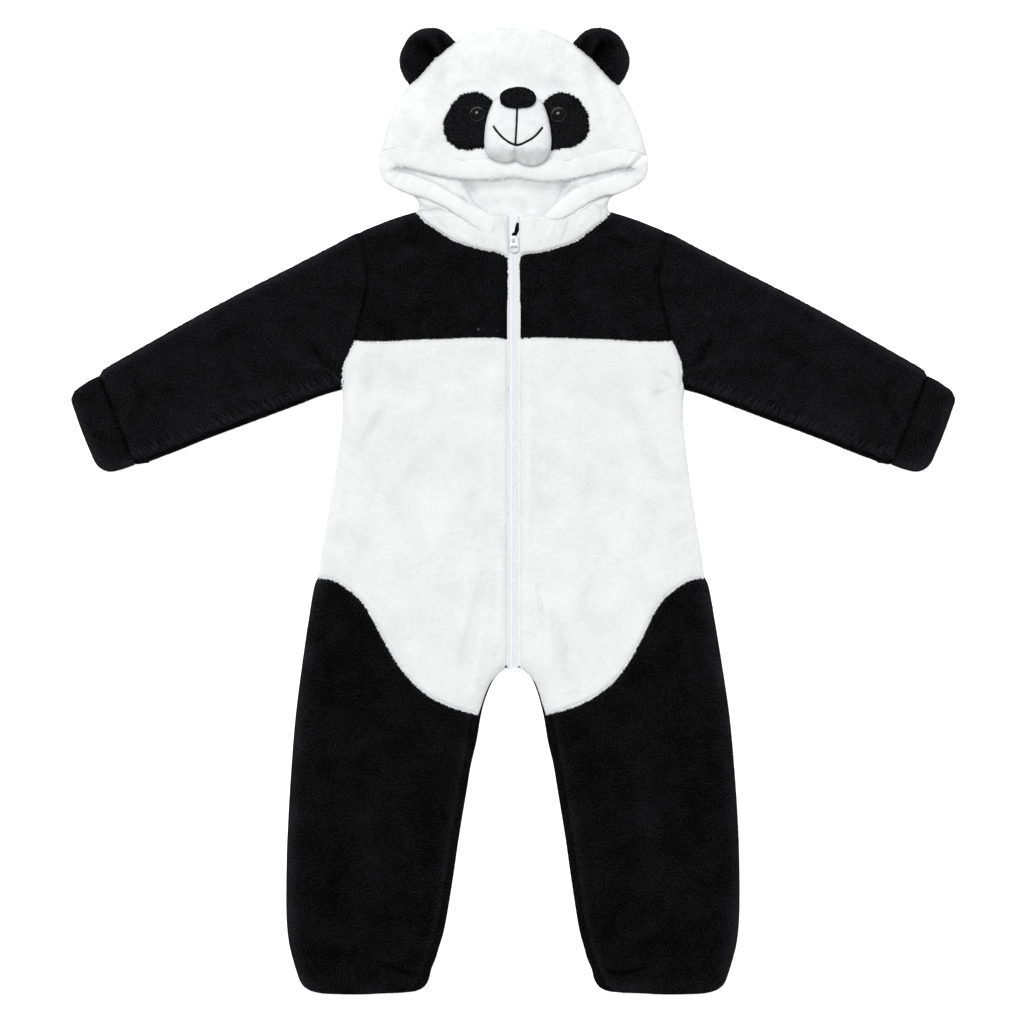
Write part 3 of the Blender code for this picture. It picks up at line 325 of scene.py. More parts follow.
# columns: x, y outside; x, y inside; lowest and highest point of the band round the hood's mouth
BRIM = {
    RIGHT: [
        (0.0, 383.4, 0.0, 367.6, 8.8, 18.4), (14.5, 383.8, 12.0, 365.4, 8.8, 18.4), (29.9, 384.4, 28.0, 364.4, 8.8, 18.4), (51.2, 384.0, 48.0, 364.6, 9.0, 19.0),
        (72.5, 387.0, 70.0, 366.8, 9.4, 19.8), (93.7, 392.0, 90.0, 371.2, 9.6, 20.4), (115.0, 396.4, 107.0, 375.4, 9.6, 20.6), (133.0, 397.4, 120.0, 377.6, 8.4, 19.4),
        (141.0, 395.6, 124.8, 377.4, 7.0, 18.4), (147.2, 393.6, 128.4, 377.0, 5.6, 17.4), (147.6, 379.7, 130.4, 376.1, 3.8, 15.8), (145.9, 371.5, 129.8, 375.3, 3.6, 15.2), (141.8, 363.3, 127.0, 374.9, 4.0, 15.0),
        (133.5, 356.8, 121.4, 373.9, 5.6, 15.2), (122.0, 351.6, 113.4, 371.2, 7.4, 15.8), (107.4, 346.4, 103.0, 366.8, 8.2, 16.2), (95.9, 343.2, 88.0, 361.6, 8.2, 16.6),
        (78.9, 335.8, 71.0, 352.0, 8.2, 16.4), (64.0, 326.2, 55.0, 342.4, 8.2, 16.0), (53.4, 319.9, 44.0, 336.2, 8.0, 15.4), (42.7, 312.4, 34.0, 331.2, 7.6, 14.4),
        (33.0, 306.6, 28.0, 328.0, 7.0, 12.8), (26.0, 305.6, 23.4, 325.6, 6.6, 11.6), (22.4, 306.4, 20.4, 323.4, 6.4, 10.8),
    ],
    LEFT: [
        (0.0, 383.4, 0.0, 367.6, 8.8, 18.4), (16.5, 383.4, 13.0, 365.2, 8.8, 18.4), (38.3, 384.0, 35.0, 362.4, 8.8, 18.4), (62.8, 385.0, 56.0, 363.8, 9.0, 19.2),
        (87.0, 390.4, 80.0, 368.6, 9.4, 20.0), (108.4, 395.0, 100.0, 373.4, 9.6, 20.4), (127.6, 394.8, 116.0, 377.0, 9.0, 20.0), (141.0, 392.4, 126.6, 377.1, 7.0, 18.4), (147.0, 389.8, 129.8, 376.7, 5.6, 17.6),
        (147.8, 384.4, 131.8, 376.3, 4.6, 16.8), (148.6, 375.6, 132.6, 375.4, 3.8, 15.6), (146.0, 367.0, 131.0, 374.8, 4.0, 15.2), (138.6, 360.4, 127.0, 374.2, 4.8, 15.0),
        (127.3, 353.4, 118.4, 372.8, 6.8, 15.4), (114.0, 348.4, 108.0, 368.6, 7.8, 16.0), (100.0, 346.4, 94.0, 364.8, 8.2, 16.4), (86.0, 340.0, 79.0, 359.4, 8.2, 16.6),
        (72.0, 331.6, 64.0, 352.0, 8.2, 16.2), (60.4, 324.2, 53.0, 343.0, 8.2, 15.6), (50.0, 320.4, 44.0, 335.2, 7.8, 14.4), (41.0, 320.0, 37.6, 328.4, 7.2, 12.6), (35.5, 320.6, 33.6, 325.0, 6.8, 11.0),
    ],
}
PATCH = {
    RIGHT: [(23.0, 449.2), (28.4, 454.3), (36.0, 458.4), (42.2, 459.9), (47.3, 459.2), (56.2, 456.8), (63.1, 450.6), (67.5, 445.5), (70.7, 439.8), (73.8, 433.5), (75.7, 426.5), (75.7, 421.5), (74.5, 415.1), (71.3, 407.0), (66.2, 403.2), (60.0, 399.4), (53.7, 397.8), (47.3, 397.8), (41.0, 399.4), (31.0, 400.3), (26.0, 412.0), (24.0, 430.0)],
    LEFT: [(33.6, 447.9), (38.1, 453.2), (45.8, 457.7), (52.8, 459.5), (59.8, 458.5), (66.1, 455.3), (73.2, 450.0), (77.3, 443.0), (80.9, 437.4), (82.3, 430.4), (82.6, 422.0), (80.9, 413.6), (76.7, 408.0), (69.6, 403.0), (62.7, 399.9), (54.2, 399.2), (48.6, 398.1), (38.9, 398.9), (35.0, 412.0), (32.0, 430.0)],
}
PATCH_CENTRE = {RIGHT: (47.0, 428.0), LEFT: (56.0, 428.0)}
MUZZLE = [
    (-21.4, 451.4), (-27.2, 437.3), (-30.2, 424.9), (-31.5, 412.6), (-31.6, 401.2), (-28.6, 391.8), (-20.4, 385.8), (-8.3, 383.0),
    (2.0, 384.6), (12.2, 381.0), (22.6, 379.7), (32.4, 383.2), (39.4, 391.6), (41.8, 404.8), (41.0, 418.8), (38.0, 433.1),
    (33.8, 445.4), (27.6, 453.6), (17.0, 460.6), (5.0, 463.2), (-7.0, 461.2), (-16.4, 456.8),
]
MUZZLE_CENTRE = (4.6, 418.0)
MOUTH_DOWN = [(4.4, 444.5), (3.9, 430.0), (3.2, 416.0), (2.4, 403.0)]
MOUTH = [(-22.2, 423.8), (-19.0, 418.8), (-15.5, 414.6), (-11.2, 410.2), (-6.3, 406.5), (-1.4, 403.8), (3.4, 402.3), (8.8, 403.4), (14.3, 406.0), (19.8, 409.0), (24.5, 412.6), (28.8, 417.2), (32.8, 422.4)]
EYES = {RIGHT: (-39.6, 436.6), LEFT: (49.8, 436.0)}
NOSE_CENTRE, NOSE_HALF, NOSE_TILT = (5.2, 454.5, 43.0), (20.0, 12.6, 7.2), math.radians(-24.0)
# the ear's outline, then the edge that is sewn in under the hood's
EAR = [
    (113.6, 468.4), (116.2, 471.8), (119.4, 476.0), (122.4, 482.4), (124.6, 489.2), (125.0, 495.9), (124.0, 502.8), (121.2, 509.6), (115.4, 520.0), (110.6, 524.8), (104.8, 528.4),
    (98.6, 530.6), (92.3, 531.3), (87.2, 531.2), (82.2, 530.3), (76.6, 527.8), (71.9, 524.3), (66.4, 518.6), (63.0, 514.4), (68.0, 507.0), (78.0, 499.0), (88.0, 490.0), (97.0, 480.0), (106.0, 471.2),
]

# columns: points of the fold's line, half width, height (a trough is negative), for each half of the front
FOLDS = [
    # wearer's right (x negative)
    ([(-13.4, -47.5), (-14.6, -98.0), (-16.7, -164.0)], 6.5, 1.3),
    ([(-32.7, -71.7), (-45.0, -120.0), (-58.0, -172.9)], 9.0, -2.0),
    ([(-29.9, -116.8), (-38.0, -160.0), (-45.3, -201.5)], 8.0, 1.2),
    ([(-17.8, -150.0), (-19.5, -168.0)], 5.0, -1.5),
    ([(-158.6, 165.0), (-158.6, 140.0), (-157.0, 118.0)], 9.0, -1.8),
    ([(-139.9, 114.0), (-156.0, 88.0), (-171.8, 60.0)], 10.0, -1.8),
    ([(-83.8, 72.4), (-108.0, 45.0), (-130.0, 9.7)], 15.0, -1.7),
    ([(-120.0, 110.0), (-95.0, 118.0)], 12.0, 0.9),
    ([(-172.0, 150.0), (-178.0, 120.0), (-176.0, 96.0)], 8.0, 1.0),
    ([(-164.0, -24.0), (-156.0, -48.0)], 12.0, -1.1),
    ([(-58.0, 20.0), (-82.0, -20.0), (-96.0, -62.0)], 16.0, 0.9),
    ([(-42.0, 26.0), (-48.0, -10.0)], 13.0, -0.9),
    ([(-120.0, -60.0), (-104.0, -110.0), (-86.0, -150.0)], 13.0, -0.8),
    ([(-22.0, 150.0), (-26.0, 90.0), (-24.0, 30.0)], 10.0, 0.7),
    ([(-188.0, 40.0), (-196.0, 0.0), (-203.0, -40.0)], 7.0, 0.8),
    # wearer's left (x positive)
    ([(27.6, -84.0), (31.0, -110.0), (33.9, -130.6)], 3.6, -2.0),
    ([(34.5, -98.0), (38.0, -125.0), (43.0, -164.0)], 6.0, 1.5),
    ([(49.0, -128.0), (56.0, -150.0), (61.4, -184.0)], 9.0, -1.7),
    ([(178.5, 138.5), (172.0, 146.5), (163.0, 152.0)], 3.6, -1.8),
    ([(156.5, 126.3), (170.0, 132.0)], 5.0, -1.1),
    ([(160.0, 134.0), (158.0, 116.0)], 9.0, -1.5),
    ([(158.0, 96.0), (170.0, 86.0)], 13.0, 1.5),
    ([(121.9, 117.5), (142.0, 84.0), (156.0, 50.4), (163.0, 34.0)], 12.0, -1.8),
    ([(108.0, 96.0), (122.0, 60.0), (134.0, 28.0)], 12.0, 1.1),
    ([(22.4, 66.0), (28.0, 30.0), (32.0, 6.0)], 8.0, -1.1),
    ([(76.8, 55.0), (84.0, 30.0), (80.0, 0.0)], 13.0, -1.0),
    ([(16.5, 160.0), (17.6, 90.0), (17.0, 20.0), (16.0, -60.0)], 6.0, 0.9),
    ([(100.0, -40.0), (84.0, -92.0), (70.0, -140.0)], 14.0, -0.8),
    ([(190.0, 60.0), (196.0, 20.0), (204.0, -30.0)], 8.0, 0.9),
    ([(130.0, -52.0), (110.0, -110.0)], 14.0, 0.8),
    # yoke
    ([(-136.6, 268.2), (-124.0, 277.0), (-112.4, 284.7)], 6.0, 1.4),
    ([(-117.0, 318.0), (-113.0, 308.0)], 4.5, -1.6),
    ([(-128.0, 300.0), (-104.0, 296.0)], 8.0, -1.0),
    ([(-60.0, 262.0), (-90.0, 240.0), (-110.0, 205.0)], 14.0, -0.7),
    ([(156.6, 268.0), (158.0, 258.0)], 4.0, -1.6),
    ([(131.8, 236.0), (141.0, 227.0), (148.0, 222.0)], 4.0, 1.2),
    ([(114.0, 309.0), (128.0, 303.0)], 6.0, 1.1),
    ([(110.0, 300.0), (132.0, 292.0)], 7.0, -1.0),
    ([(60.0, 250.0), (92.0, 226.0), (120.0, 200.0)], 14.0, 0.8),
    # sleeve roots
    ([(-207.0, 160.0), (-217.0, 176.0), (-226.0, 186.0)], 7.0, -1.8),
    ([(-196.0, 168.0), (-204.0, 188.0)], 5.0, 1.2),
    ([(-197.0, 150.0), (-212.0, 158.0), (-232.0, 160.0)], 5.0, 1.2),
    ([(-200.0, 140.0), (-216.0, 143.0)], 4.0, -1.4),
    ([(-184.0, 212.0), (-206.0, 220.0), (-230.0, 224.0)], 9.0, -0.8),
    ([(206.0, 166.0), (212.0, 178.0), (218.0, 190.0)], 7.0, -1.7),
    ([(194.0, 176.0), (200.0, 190.0)], 5.0, 1.1),
    ([(195.0, 152.0), (210.0, 160.0), (228.0, 166.0)], 5.0, 1.2),
    ([(198.0, 142.0), (212.0, 147.0)], 4.0, -1.4),
    # sleeves: slow hollows, and a drag line at each cuff
    ([(-404.0, 132.0), (-416.0, 110.0), (-420.0, 92.0)], 9.0, -1.2),
    ([(-300.0, 206.0), (-340.0, 182.0)], 13.0, -0.9),
    ([(-262.0, 136.0), (-320.0, 114.0), (-372.0, 98.0)], 11.0, 0.8),
    ([(404.0, 136.0), (414.0, 114.0), (422.0, 94.0)], 9.0, -1.2),
    ([(262.0, 190.0), (312.0, 170.0), (350.0, 146.0)], 13.0, -0.8),
    ([(300.0, 120.0), (346.0, 106.0), (384.0, 88.0)], 11.0, 0.8),
    # legs: hollows, the hem's drawn line and the drag at the inner corner
    ([(-148.8, -497.0), (-138.8, -499.6), (-127.8, -504.4), (-117.9, -508.0), (-104.0, -509.6)], 3.2, -2.4),
    ([(-150.0, -480.0), (-190.0, -486.0), (-222.0, -488.0)], 12.0, -1.0),
    ([(-190.0, -380.0), (-200.0, -430.0)], 16.0, -1.0),
    ([(-150.0, -300.0), (-160.0, -360.0), (-150.0, -420.0)], 18.0, 0.9),
    ([(-90.0, -330.0), (-98.0, -400.0)], 14.0, -0.9),
    ([(-200.0, -150.0), (-206.0, -210.0)], 12.0, -0.9),
    ([(-216.0, -102.0), (-224.0, -150.0), (-230.0, -190.0)], 3.0, -1.1),
    ([(104.0, -506.0), (116.0, -510.0), (130.0, -507.0), (146.0, -503.0)], 3.4, -2.2),
    ([(150.0, -470.0), (190.0, -478.0), (220.0, -480.0)], 12.0, -0.9),
    ([(120.0, -430.0), (104.0, -462.0), (99.0, -484.0)], 9.0, -1.2),
    ([(190.0, -300.0), (204.0, -360.0)], 15.0, -0.9),
    ([(140.0, -280.0), (150.0, -350.0), (140.0, -420.0)], 18.0, 0.9),
    ([(80.0, -270.0), (92.0, -330.0)], 13.0, -0.8),
    ([(186.0, -140.0), (204.0, -190.0)], 12.0, 0.8),
]
HOOD_FOLDS = [
    ([(-80.5, 500.0), (-79.0, 470.0), (-74.0, 448.0)], 10.0, -2.0),
    ([(-66.0, 461.0), (-54.0, 468.0), (-38.0, 469.5)], 7.0, -1.7),
    ([(-96.0, 470.0), (-100.0, 440.0), (-96.0, 420.0)], 12.0, 1.3),
    ([(-9.0, 486.0), (6.0, 480.0), (20.0, 484.0)], 12.0, -1.7),
    ([(-62.0, 496.0), (-44.0, 478.0)], 9.0, -0.9),
    ([(-40.0, 506.0), (-16.0, 508.0)], 10.0, 1.1),
    ([(-120.0, 428.0), (-104.0, 408.0), (-86.0, 402.0)], 9.0, -0.9),
    ([(82.0, 500.0), (88.0, 470.0), (94.0, 444.0)], 10.0, -1.7),
    ([(64.0, 466.0), (50.0, 470.0), (36.0, 466.0)], 7.0, -1.5),
    ([(100.0, 474.0), (108.0, 440.0), (106.0, 416.0)], 11.0, 1.1),
    ([(48.0, 496.0), (34.0, 476.0)], 9.0, 0.9),
    ([(116.0, 426.0), (104.0, 408.0), (90.0, 400.0)], 9.0, -1.0),
    ([(28.0, 512.0), (50.0, 504.0)], 9.0, -0.7),
]
# the back isn't seen: its own soft creases, in the same sizes
BACK_FOLDS = [
    ([(-150.0, 150.0), (-120.0, 96.0)], 12.0, 1.6), ([(150.0, 140.0), (132.0, 92.0)], 12.0, 1.5), ([(-60.0, 60.0), (-76.0, -20.0)], 14.0, 1.2),
    ([(52.0, 20.0), (70.0, -60.0)], 14.0, 1.3), ([(-24.0, -80.0), (-36.0, -136.0)], 8.0, 1.4), ([(28.0, -70.0), (32.0, -130.0)], 7.0, 1.6),
    ([(-120.0, 290.0), (-60.0, 262.0)], 12.0, 1.2), ([(116.0, 280.0), (70.0, 240.0)], 12.0, 1.1), ([(0.0, 250.0), (4.0, 210.0)], 14.0, 1.0),
    ([(-160.0, -240.0), (-170.0, -320.0)], 15.0, 1.3), ([(-110.0, -350.0), (-120.0, -430.0)], 14.0, 1.2), ([(150.0, -200.0), (166.0, -290.0)], 15.0, 1.3),
    ([(110.0, -330.0), (126.0, -420.0)], 14.0, 1.2), ([(-60.0, -200.0), (-90.0, -240.0)], 9.0, 1.5), ([(56.0, -196.0), (84.0, -236.0)], 9.0, 1.4),
    ([(-200.0, -440.0), (-150.0, -470.0)], 12.0, 1.2), ([(196.0, -430.0), (150.0, -466.0)], 12.0, 1.1), ([(-70.0, 470.0), (-84.0, 430.0)], 11.0, 1.3),
    ([(64.0, 480.0), (82.0, 436.0)], 11.0, 1.2), ([(-30.0, 400.0), (-20.0, 360.0)], 10.0, 1.1), ([(26.0, 410.0), (30.0, 366.0)], 10.0, 1.2),
    ([(-240.0, 220.0), (-290.0, 190.0)], 11.0, 1.2), ([(250.0, 200.0), (300.0, 184.0)], 11.0, 1.1), ([(-350.0, 130.0), (-392.0, 110.0)], 9.0, 1.0),
    ([(352.0, 140.0), (398.0, 112.0)], 9.0, 1.0),
]


# ---------------------------------------------------------------- numbers
def smooth_line(points, step):
    """Points about a step apart on a smooth curve through the given ones, both ends kept."""
    p = np.array(points, float)
    if len(p) == 2:
        fine = p
    else:
        pad = np.vstack([2 * p[0] - p[1], p, 2 * p[-1] - p[-2]])
        knots = np.concatenate([[0], np.cumsum(np.maximum(np.linalg.norm(np.diff(pad[:, :2], axis=0), axis=1), 1e-6) ** 0.5)])
        found = []
        for i in range(1, len(pad) - 2):
            t0, t1, t2, t3 = knots[i - 1 : i + 3]
            p0, p1, p2, p3 = pad[i - 1 : i + 3]
            t = np.linspace(t1, t2, 17)[:-1, None]
            a1 = (t1 - t) / (t1 - t0) * p0 + (t - t0) / (t1 - t0) * p1
            a2 = (t2 - t) / (t2 - t1) * p1 + (t - t1) / (t2 - t1) * p2
            a3 = (t3 - t) / (t3 - t2) * p2 + (t - t2) / (t3 - t2) * p3
            b1 = (t2 - t) / (t2 - t0) * a1 + (t - t0) / (t2 - t0) * a2
            b2 = (t3 - t) / (t3 - t1) * a2 + (t - t1) / (t3 - t1) * a3
            found.append((t2 - t) / (t2 - t1) * b1 + (t - t1) / (t2 - t1) * b2)
        fine = np.vstack(found + [p[-1:]])
    run = np.concatenate([[0], np.cumsum(np.linalg.norm(np.diff(fine[:, :2], axis=0), axis=1))])
    count = max(int(round(run[-1] / step)), 1) + 1
    want = np.linspace(0, run[-1], count)
    return np.stack([np.interp(want, run, fine[:, k]) for k in range(fine.shape[1])], axis=1)


def ring_of(curves, step):
    """A closed outline from curves that meet end to end, without its last point."""
    return np.vstack([smooth_line(c, step)[:-1] for c in curves])


# below the arms the wearer's left side lies a little further in than the right: y, change of x at the outline; at the inner leg
NARROW_OUT = np.array([(-531.0, -0.9), (-480.0, -0.9), (-400.0, -0.6), (-300.0, -0.4), (-270.0, -1.3), (-210.0, -1.8), (-164.0, -2.6), (-120.0, -3.4), (-76.0, -4.0), (-10.0, -3.7), (12.0, -3.2), (34.0, -2.4), (78.0, -1.6), (110.0, -0.7), (133.0, 0.0)])
NARROW_IN = np.array([(-531.0, -3.4), (-494.0, -4.0), (-470.0, -3.6), (-450.0, -2.8), (-300.0, -2.3), (-208.0, -2.2), (-186.0, -0.6), (-175.0, 0.0)])


def narrow(x, y):
    share = np.clip((x - 100.0) / 60.0, 0, 1)
    change = np.interp(y, *NARROW_OUT.T) * share + np.interp(y, *NARROW_IN.T) * (1 - share)
    limit = np.interp(y, [-540.0, 0.0, 60.0, 134.0], [270.0, 225.0, 203.0, 197.0])
    return change * np.clip((limit - x) / 6.0, 0, 1) * np.clip(x / 12.0, 0, 1)


def flip(points, side):
    if side > 0:
        return [(float(x + narrow(x, y)), y) for x, y in points]
    return [(-x, y) for x, y in points]


def away(p, line, closed=False):
    """Distance from each point to a line of points."""
    line = np.asarray(line, float)
    if closed:
        line = np.vstack([line, line[:1]])
    a, d = line[:-1], line[1:] - line[:-1]
    size = np.maximum((d * d).sum(1), 1e-12)
    best = np.empty(len(p))
    for k in range(0, len(p), 4000):
        q = p[k : k + 4000, None, :] - a[None]
        t = np.clip((q * d).sum(2) / size, 0, 1)
        best[k : k + 4000] = np.sqrt(((q - t[..., None] * d) ** 2).sum(2).min(1))
    return best


def within(p, ring):
    x, y = p[:, 0], p[:, 1]
    inside = np.zeros(len(p), bool)
    x0, y0 = ring[:, 0], ring[:, 1]
    x1, y1 = np.roll(x0, -1), np.roll(y0, -1)
    for i in range(len(ring)):
        if y0[i] == y1[i]:
            continue
        cross = (y0[i] > y) != (y1[i] > y)
        inside ^= cross & (x < (x1[i] - x0[i]) * (y - y0[i]) / (y1[i] - y0[i]) + x0[i])
    return inside


def rise(d, width):
    return np.sin(np.pi / 2 * np.clip(d / width, 0, 1))


def dome(d, width):
    t = 1 - np.clip(d / width, 0, 1)
    return np.sqrt(np.clip(1 - t * t, 0, 1))


TABLES = {}


def lattice(seed, depth):
    key = (seed, depth)
    if key not in TABLES:
        TABLES[key] = np.random.default_rng(seed).random((64, 64, depth))
    return TABLES[key]


def soft(x, y, size, seed):
    """Slow noise from -1 to 1."""
    table = lattice(seed, 1)[..., 0] * 2 - 1
    u, v = x / size, y / size
    i, j = np.floor(u).astype(int), np.floor(v).astype(int)
    s, t = u - i, v - j
    s, t = s * s * s * (s * (s * 6 - 15) + 10), t * t * t * (t * (t * 6 - 15) + 10)
    a, b = table[i % 64, j % 64], table[(i + 1) % 64, j % 64]
    c, d = table[i % 64, (j + 1) % 64], table[(i + 1) % 64, (j + 1) % 64]
    return (a * (1 - s) + b * s) * (1 - t) + (c * (1 - s) + d * s) * t


def strands(x, y, angle, wave, seed):
    """Streaks a wave apart that lie along the angle, about -1 to 1: the clumps of the pile."""
    cell = wave * 1.3
    table = lattice(seed, 9)
    i, j = np.floor(x / cell).astype(int), np.floor(y / cell).astype(int)
    c, s = np.cos(angle), np.sin(angle)
    total = np.zeros(len(x))
    for di in (-1, 0, 1):
        for dj in (-1, 0, 1):
            t = table[(i + di) % 64, (j + dj) % 64]
            for k in range(3):
                px = (i + di + t[:, 3 * k]) * cell - x
                py = (j + dj + t[:, 3 * k + 1]) * cell - y
                along, across = px * c + py * s, -px * s + py * c
                weight = np.exp(-((along / (1.05 * cell)) ** 2 + (across / (0.55 * cell)) ** 2) * 1.9)
                total += weight * np.cos(2 * np.pi * (across / wave + t[:, 3 * k + 2]))
    return total * 0.75


def nap_angle(x, y, base, seed=5):
    """The way the pile lies: a base direction with whorls."""
    return base + 1.9 * soft(x, y, 34.0, seed) + 1.3 * soft(x, y, 13.0, seed + 1) + 0.9 * soft(x, y, 6.5, seed + 2)


def fold_height(p, folds):
    total = np.zeros(len(p))
    lo, hi = p.min(0), p.max(0)
    for line, half, high in folds:
        pts = smooth_line(line, 4.0)
        reach = half * 1.6
        if (pts.max(0) + reach < lo).any() or (pts.min(0) - reach > hi).any():
            continue
        near = ((p > pts.min(0) - reach) & (p < pts.max(0) + reach)).all(1)
        if not near.any():
            continue
        q = p[near]
        d2 = ((q[:, None, :] - pts[None]) ** 2).sum(2)
        which = d2.argmin(1)
        share = which / (len(pts) - 1)
        d = away(q, pts)
        ends = 0.55 + 0.45 * np.sin(np.pi * np.clip(share, 0.02, 0.98))
        wobble = 1 + 0.25 * soft(q[:, 0], q[:, 1], 17.0, 91)
        total[near] += high * ends * wobble * np.exp(-((d / (0.62 * half)) ** 2))
    return total


# ---------------------------------------------------------------- heights of the garment's layers, mm
TOP_LINE = smooth_line(SHOULDER + SLEEVE_TOP[1:-1] + CUFF_TOP[1:], 3.0)
LOW_LINE = np.vstack([smooth_line(CUFF_RIM[2:] + CUFF_LOW[1:] + SLEEVE_LOW[::-1][2:-1], 3.0), smooth_line(SIDE, 3.0)])


def outline_distance(p):
    x = np.where(p[:, 0] > 0, p[:, 0] - narrow(p[:, 0], p[:, 1]), -p[:, 0])
    q = np.stack([x, p[:, 1]], 1)
    return np.minimum(away(q, TOP_LINE), away(q, LOW_LINE))


def front_height(p, d=None):
    """The upper face of the front layer: rounded at the outline, with its folds."""
    d = outline_distance(p) if d is None else d
    lift = dome(d, 15.0) * 0.72 + rise(d, 30.0) * 0.28
    swell = 0.7 * soft(p[:, 0], p[:, 1], 62.0, 21) + 0.45 * soft(p[:, 0], p[:, 1], 27.0, 22)
    return 4.6 + 5.6 * lift + (swell + fold_height(p, FOLDS)) * rise(d, 14.0)


HOOD_ALL = np.vstack([smooth_line(flip(HOOD_LINE[RIGHT], -1)[::-1], 3.0), smooth_line(HOOD_LINE[LEFT], 3.0)[1:]])


def seam_drop(d, deep=2.6):
    """How far the pile rolls down at a seam."""
    return deep * np.exp(-((d / 1.5) ** 1.3)) + 0.9 * np.exp(-d / 4.0)


# ---------------------------------------------------------------- meshes
def new_mesh(name, verts, faces, material, skin=None, nap=None, smooth=True, tone=None):
    mesh = bpy.data.meshes.new(name)
    mesh.from_pydata((np.asarray(verts) * MM).tolist(), [], faces)
    mesh.materials.append(material)
    if skin is not None:
        layer = mesh.attributes.new("skin", "FLOAT_VECTOR", "POINT")
        flat = np.zeros((len(verts), 3), np.float32)
        flat[:, :2] = np.asarray(skin) * MM
        layer.data.foreach_set("vector", flat.ravel())
        layer = mesh.attributes.new("nap", "FLOAT", "POINT")
        layer.data.foreach_set("value", np.asarray(nap, np.float32))
    if tone is not None:
        layer = mesh.attributes.new("tone", "FLOAT", "POINT")
        layer.data.foreach_set("value", np.asarray(tone, np.float32))
    if smooth:
        mesh.shade_smooth()
    mesh.update()
    made = bpy.data.objects.new(name, mesh)
    bpy.context.scene.collection.objects.link(made)
    return made


def fill(ring, step, region=None, coarse=None, seed=3):
    """Points and triangles that fill an outline; its own points come first, counter-clockwise."""
    lo, hi = ring.min(0), ring.max(0)

    def grid(h):
        ys = np.arange(lo[1] + h * 0.4, hi[1], h * 0.866)
        xs = np.arange(lo[0] + h * 0.3, hi[0], h)
        g = np.stack(np.meshgrid(xs, ys), -1)
        g[1::2, :, 0] += h / 2
        g = g.reshape(-1, 2)
        return g + np.random.default_rng(seed).normal(0, h * 0.09, g.shape)

    g = grid(step)
    if region is not None:
        g = g[region(g)]
        h = grid(coarse)
        g = np.vstack([g, h[~region(h)]])
    g = g[within(g, ring)]
    g = g[away(g, ring, True) > step * 0.55]
    pts = np.vstack([ring, g])
    n = len(ring)
    out = delaunay_2d_cdt([Vector(q) for q in pts.tolist()], [(i, (i + 1) % n) for i in range(n)], [], 1, 1e-6)
    got = np.array([tuple(v) for v in out[0]])
    tris = [tuple(f) for f in out[2]]
    if len(got) != len(pts) or np.abs(got[:n] - ring).max() > 1e-4:
        raise RuntimeError("an outline crosses itself")
    tris = np.array(tris)
    a, b, c = got[tris[:, 0]], got[tris[:, 1]], got[tris[:, 2]]
    wrong = ((b - a)[:, 0] * (c - a)[:, 1] - (b - a)[:, 1] * (c - a)[:, 0]) < 0
    tris[wrong] = tris[wrong][:, ::-1]
    return got, tris


def ccw(ring):
    x, y = ring[:, 0], ring[:, 1]
    area = (x * np.roll(y, -1) - y * np.roll(x, -1)).sum()
    return ring if area > 0 else ring[::-1]


def normals_of(verts, tris):
    a, b, c = (verts[tris[:, k]] for k in range(3))
    n = np.cross(b - a, c - a)
    total = np.zeros_like(verts)
    for k in range(3):
        np.add.at(total, tris[:, k], n)
    return total / np.maximum(np.linalg.norm(total, axis=1), 1e-9)[:, None]


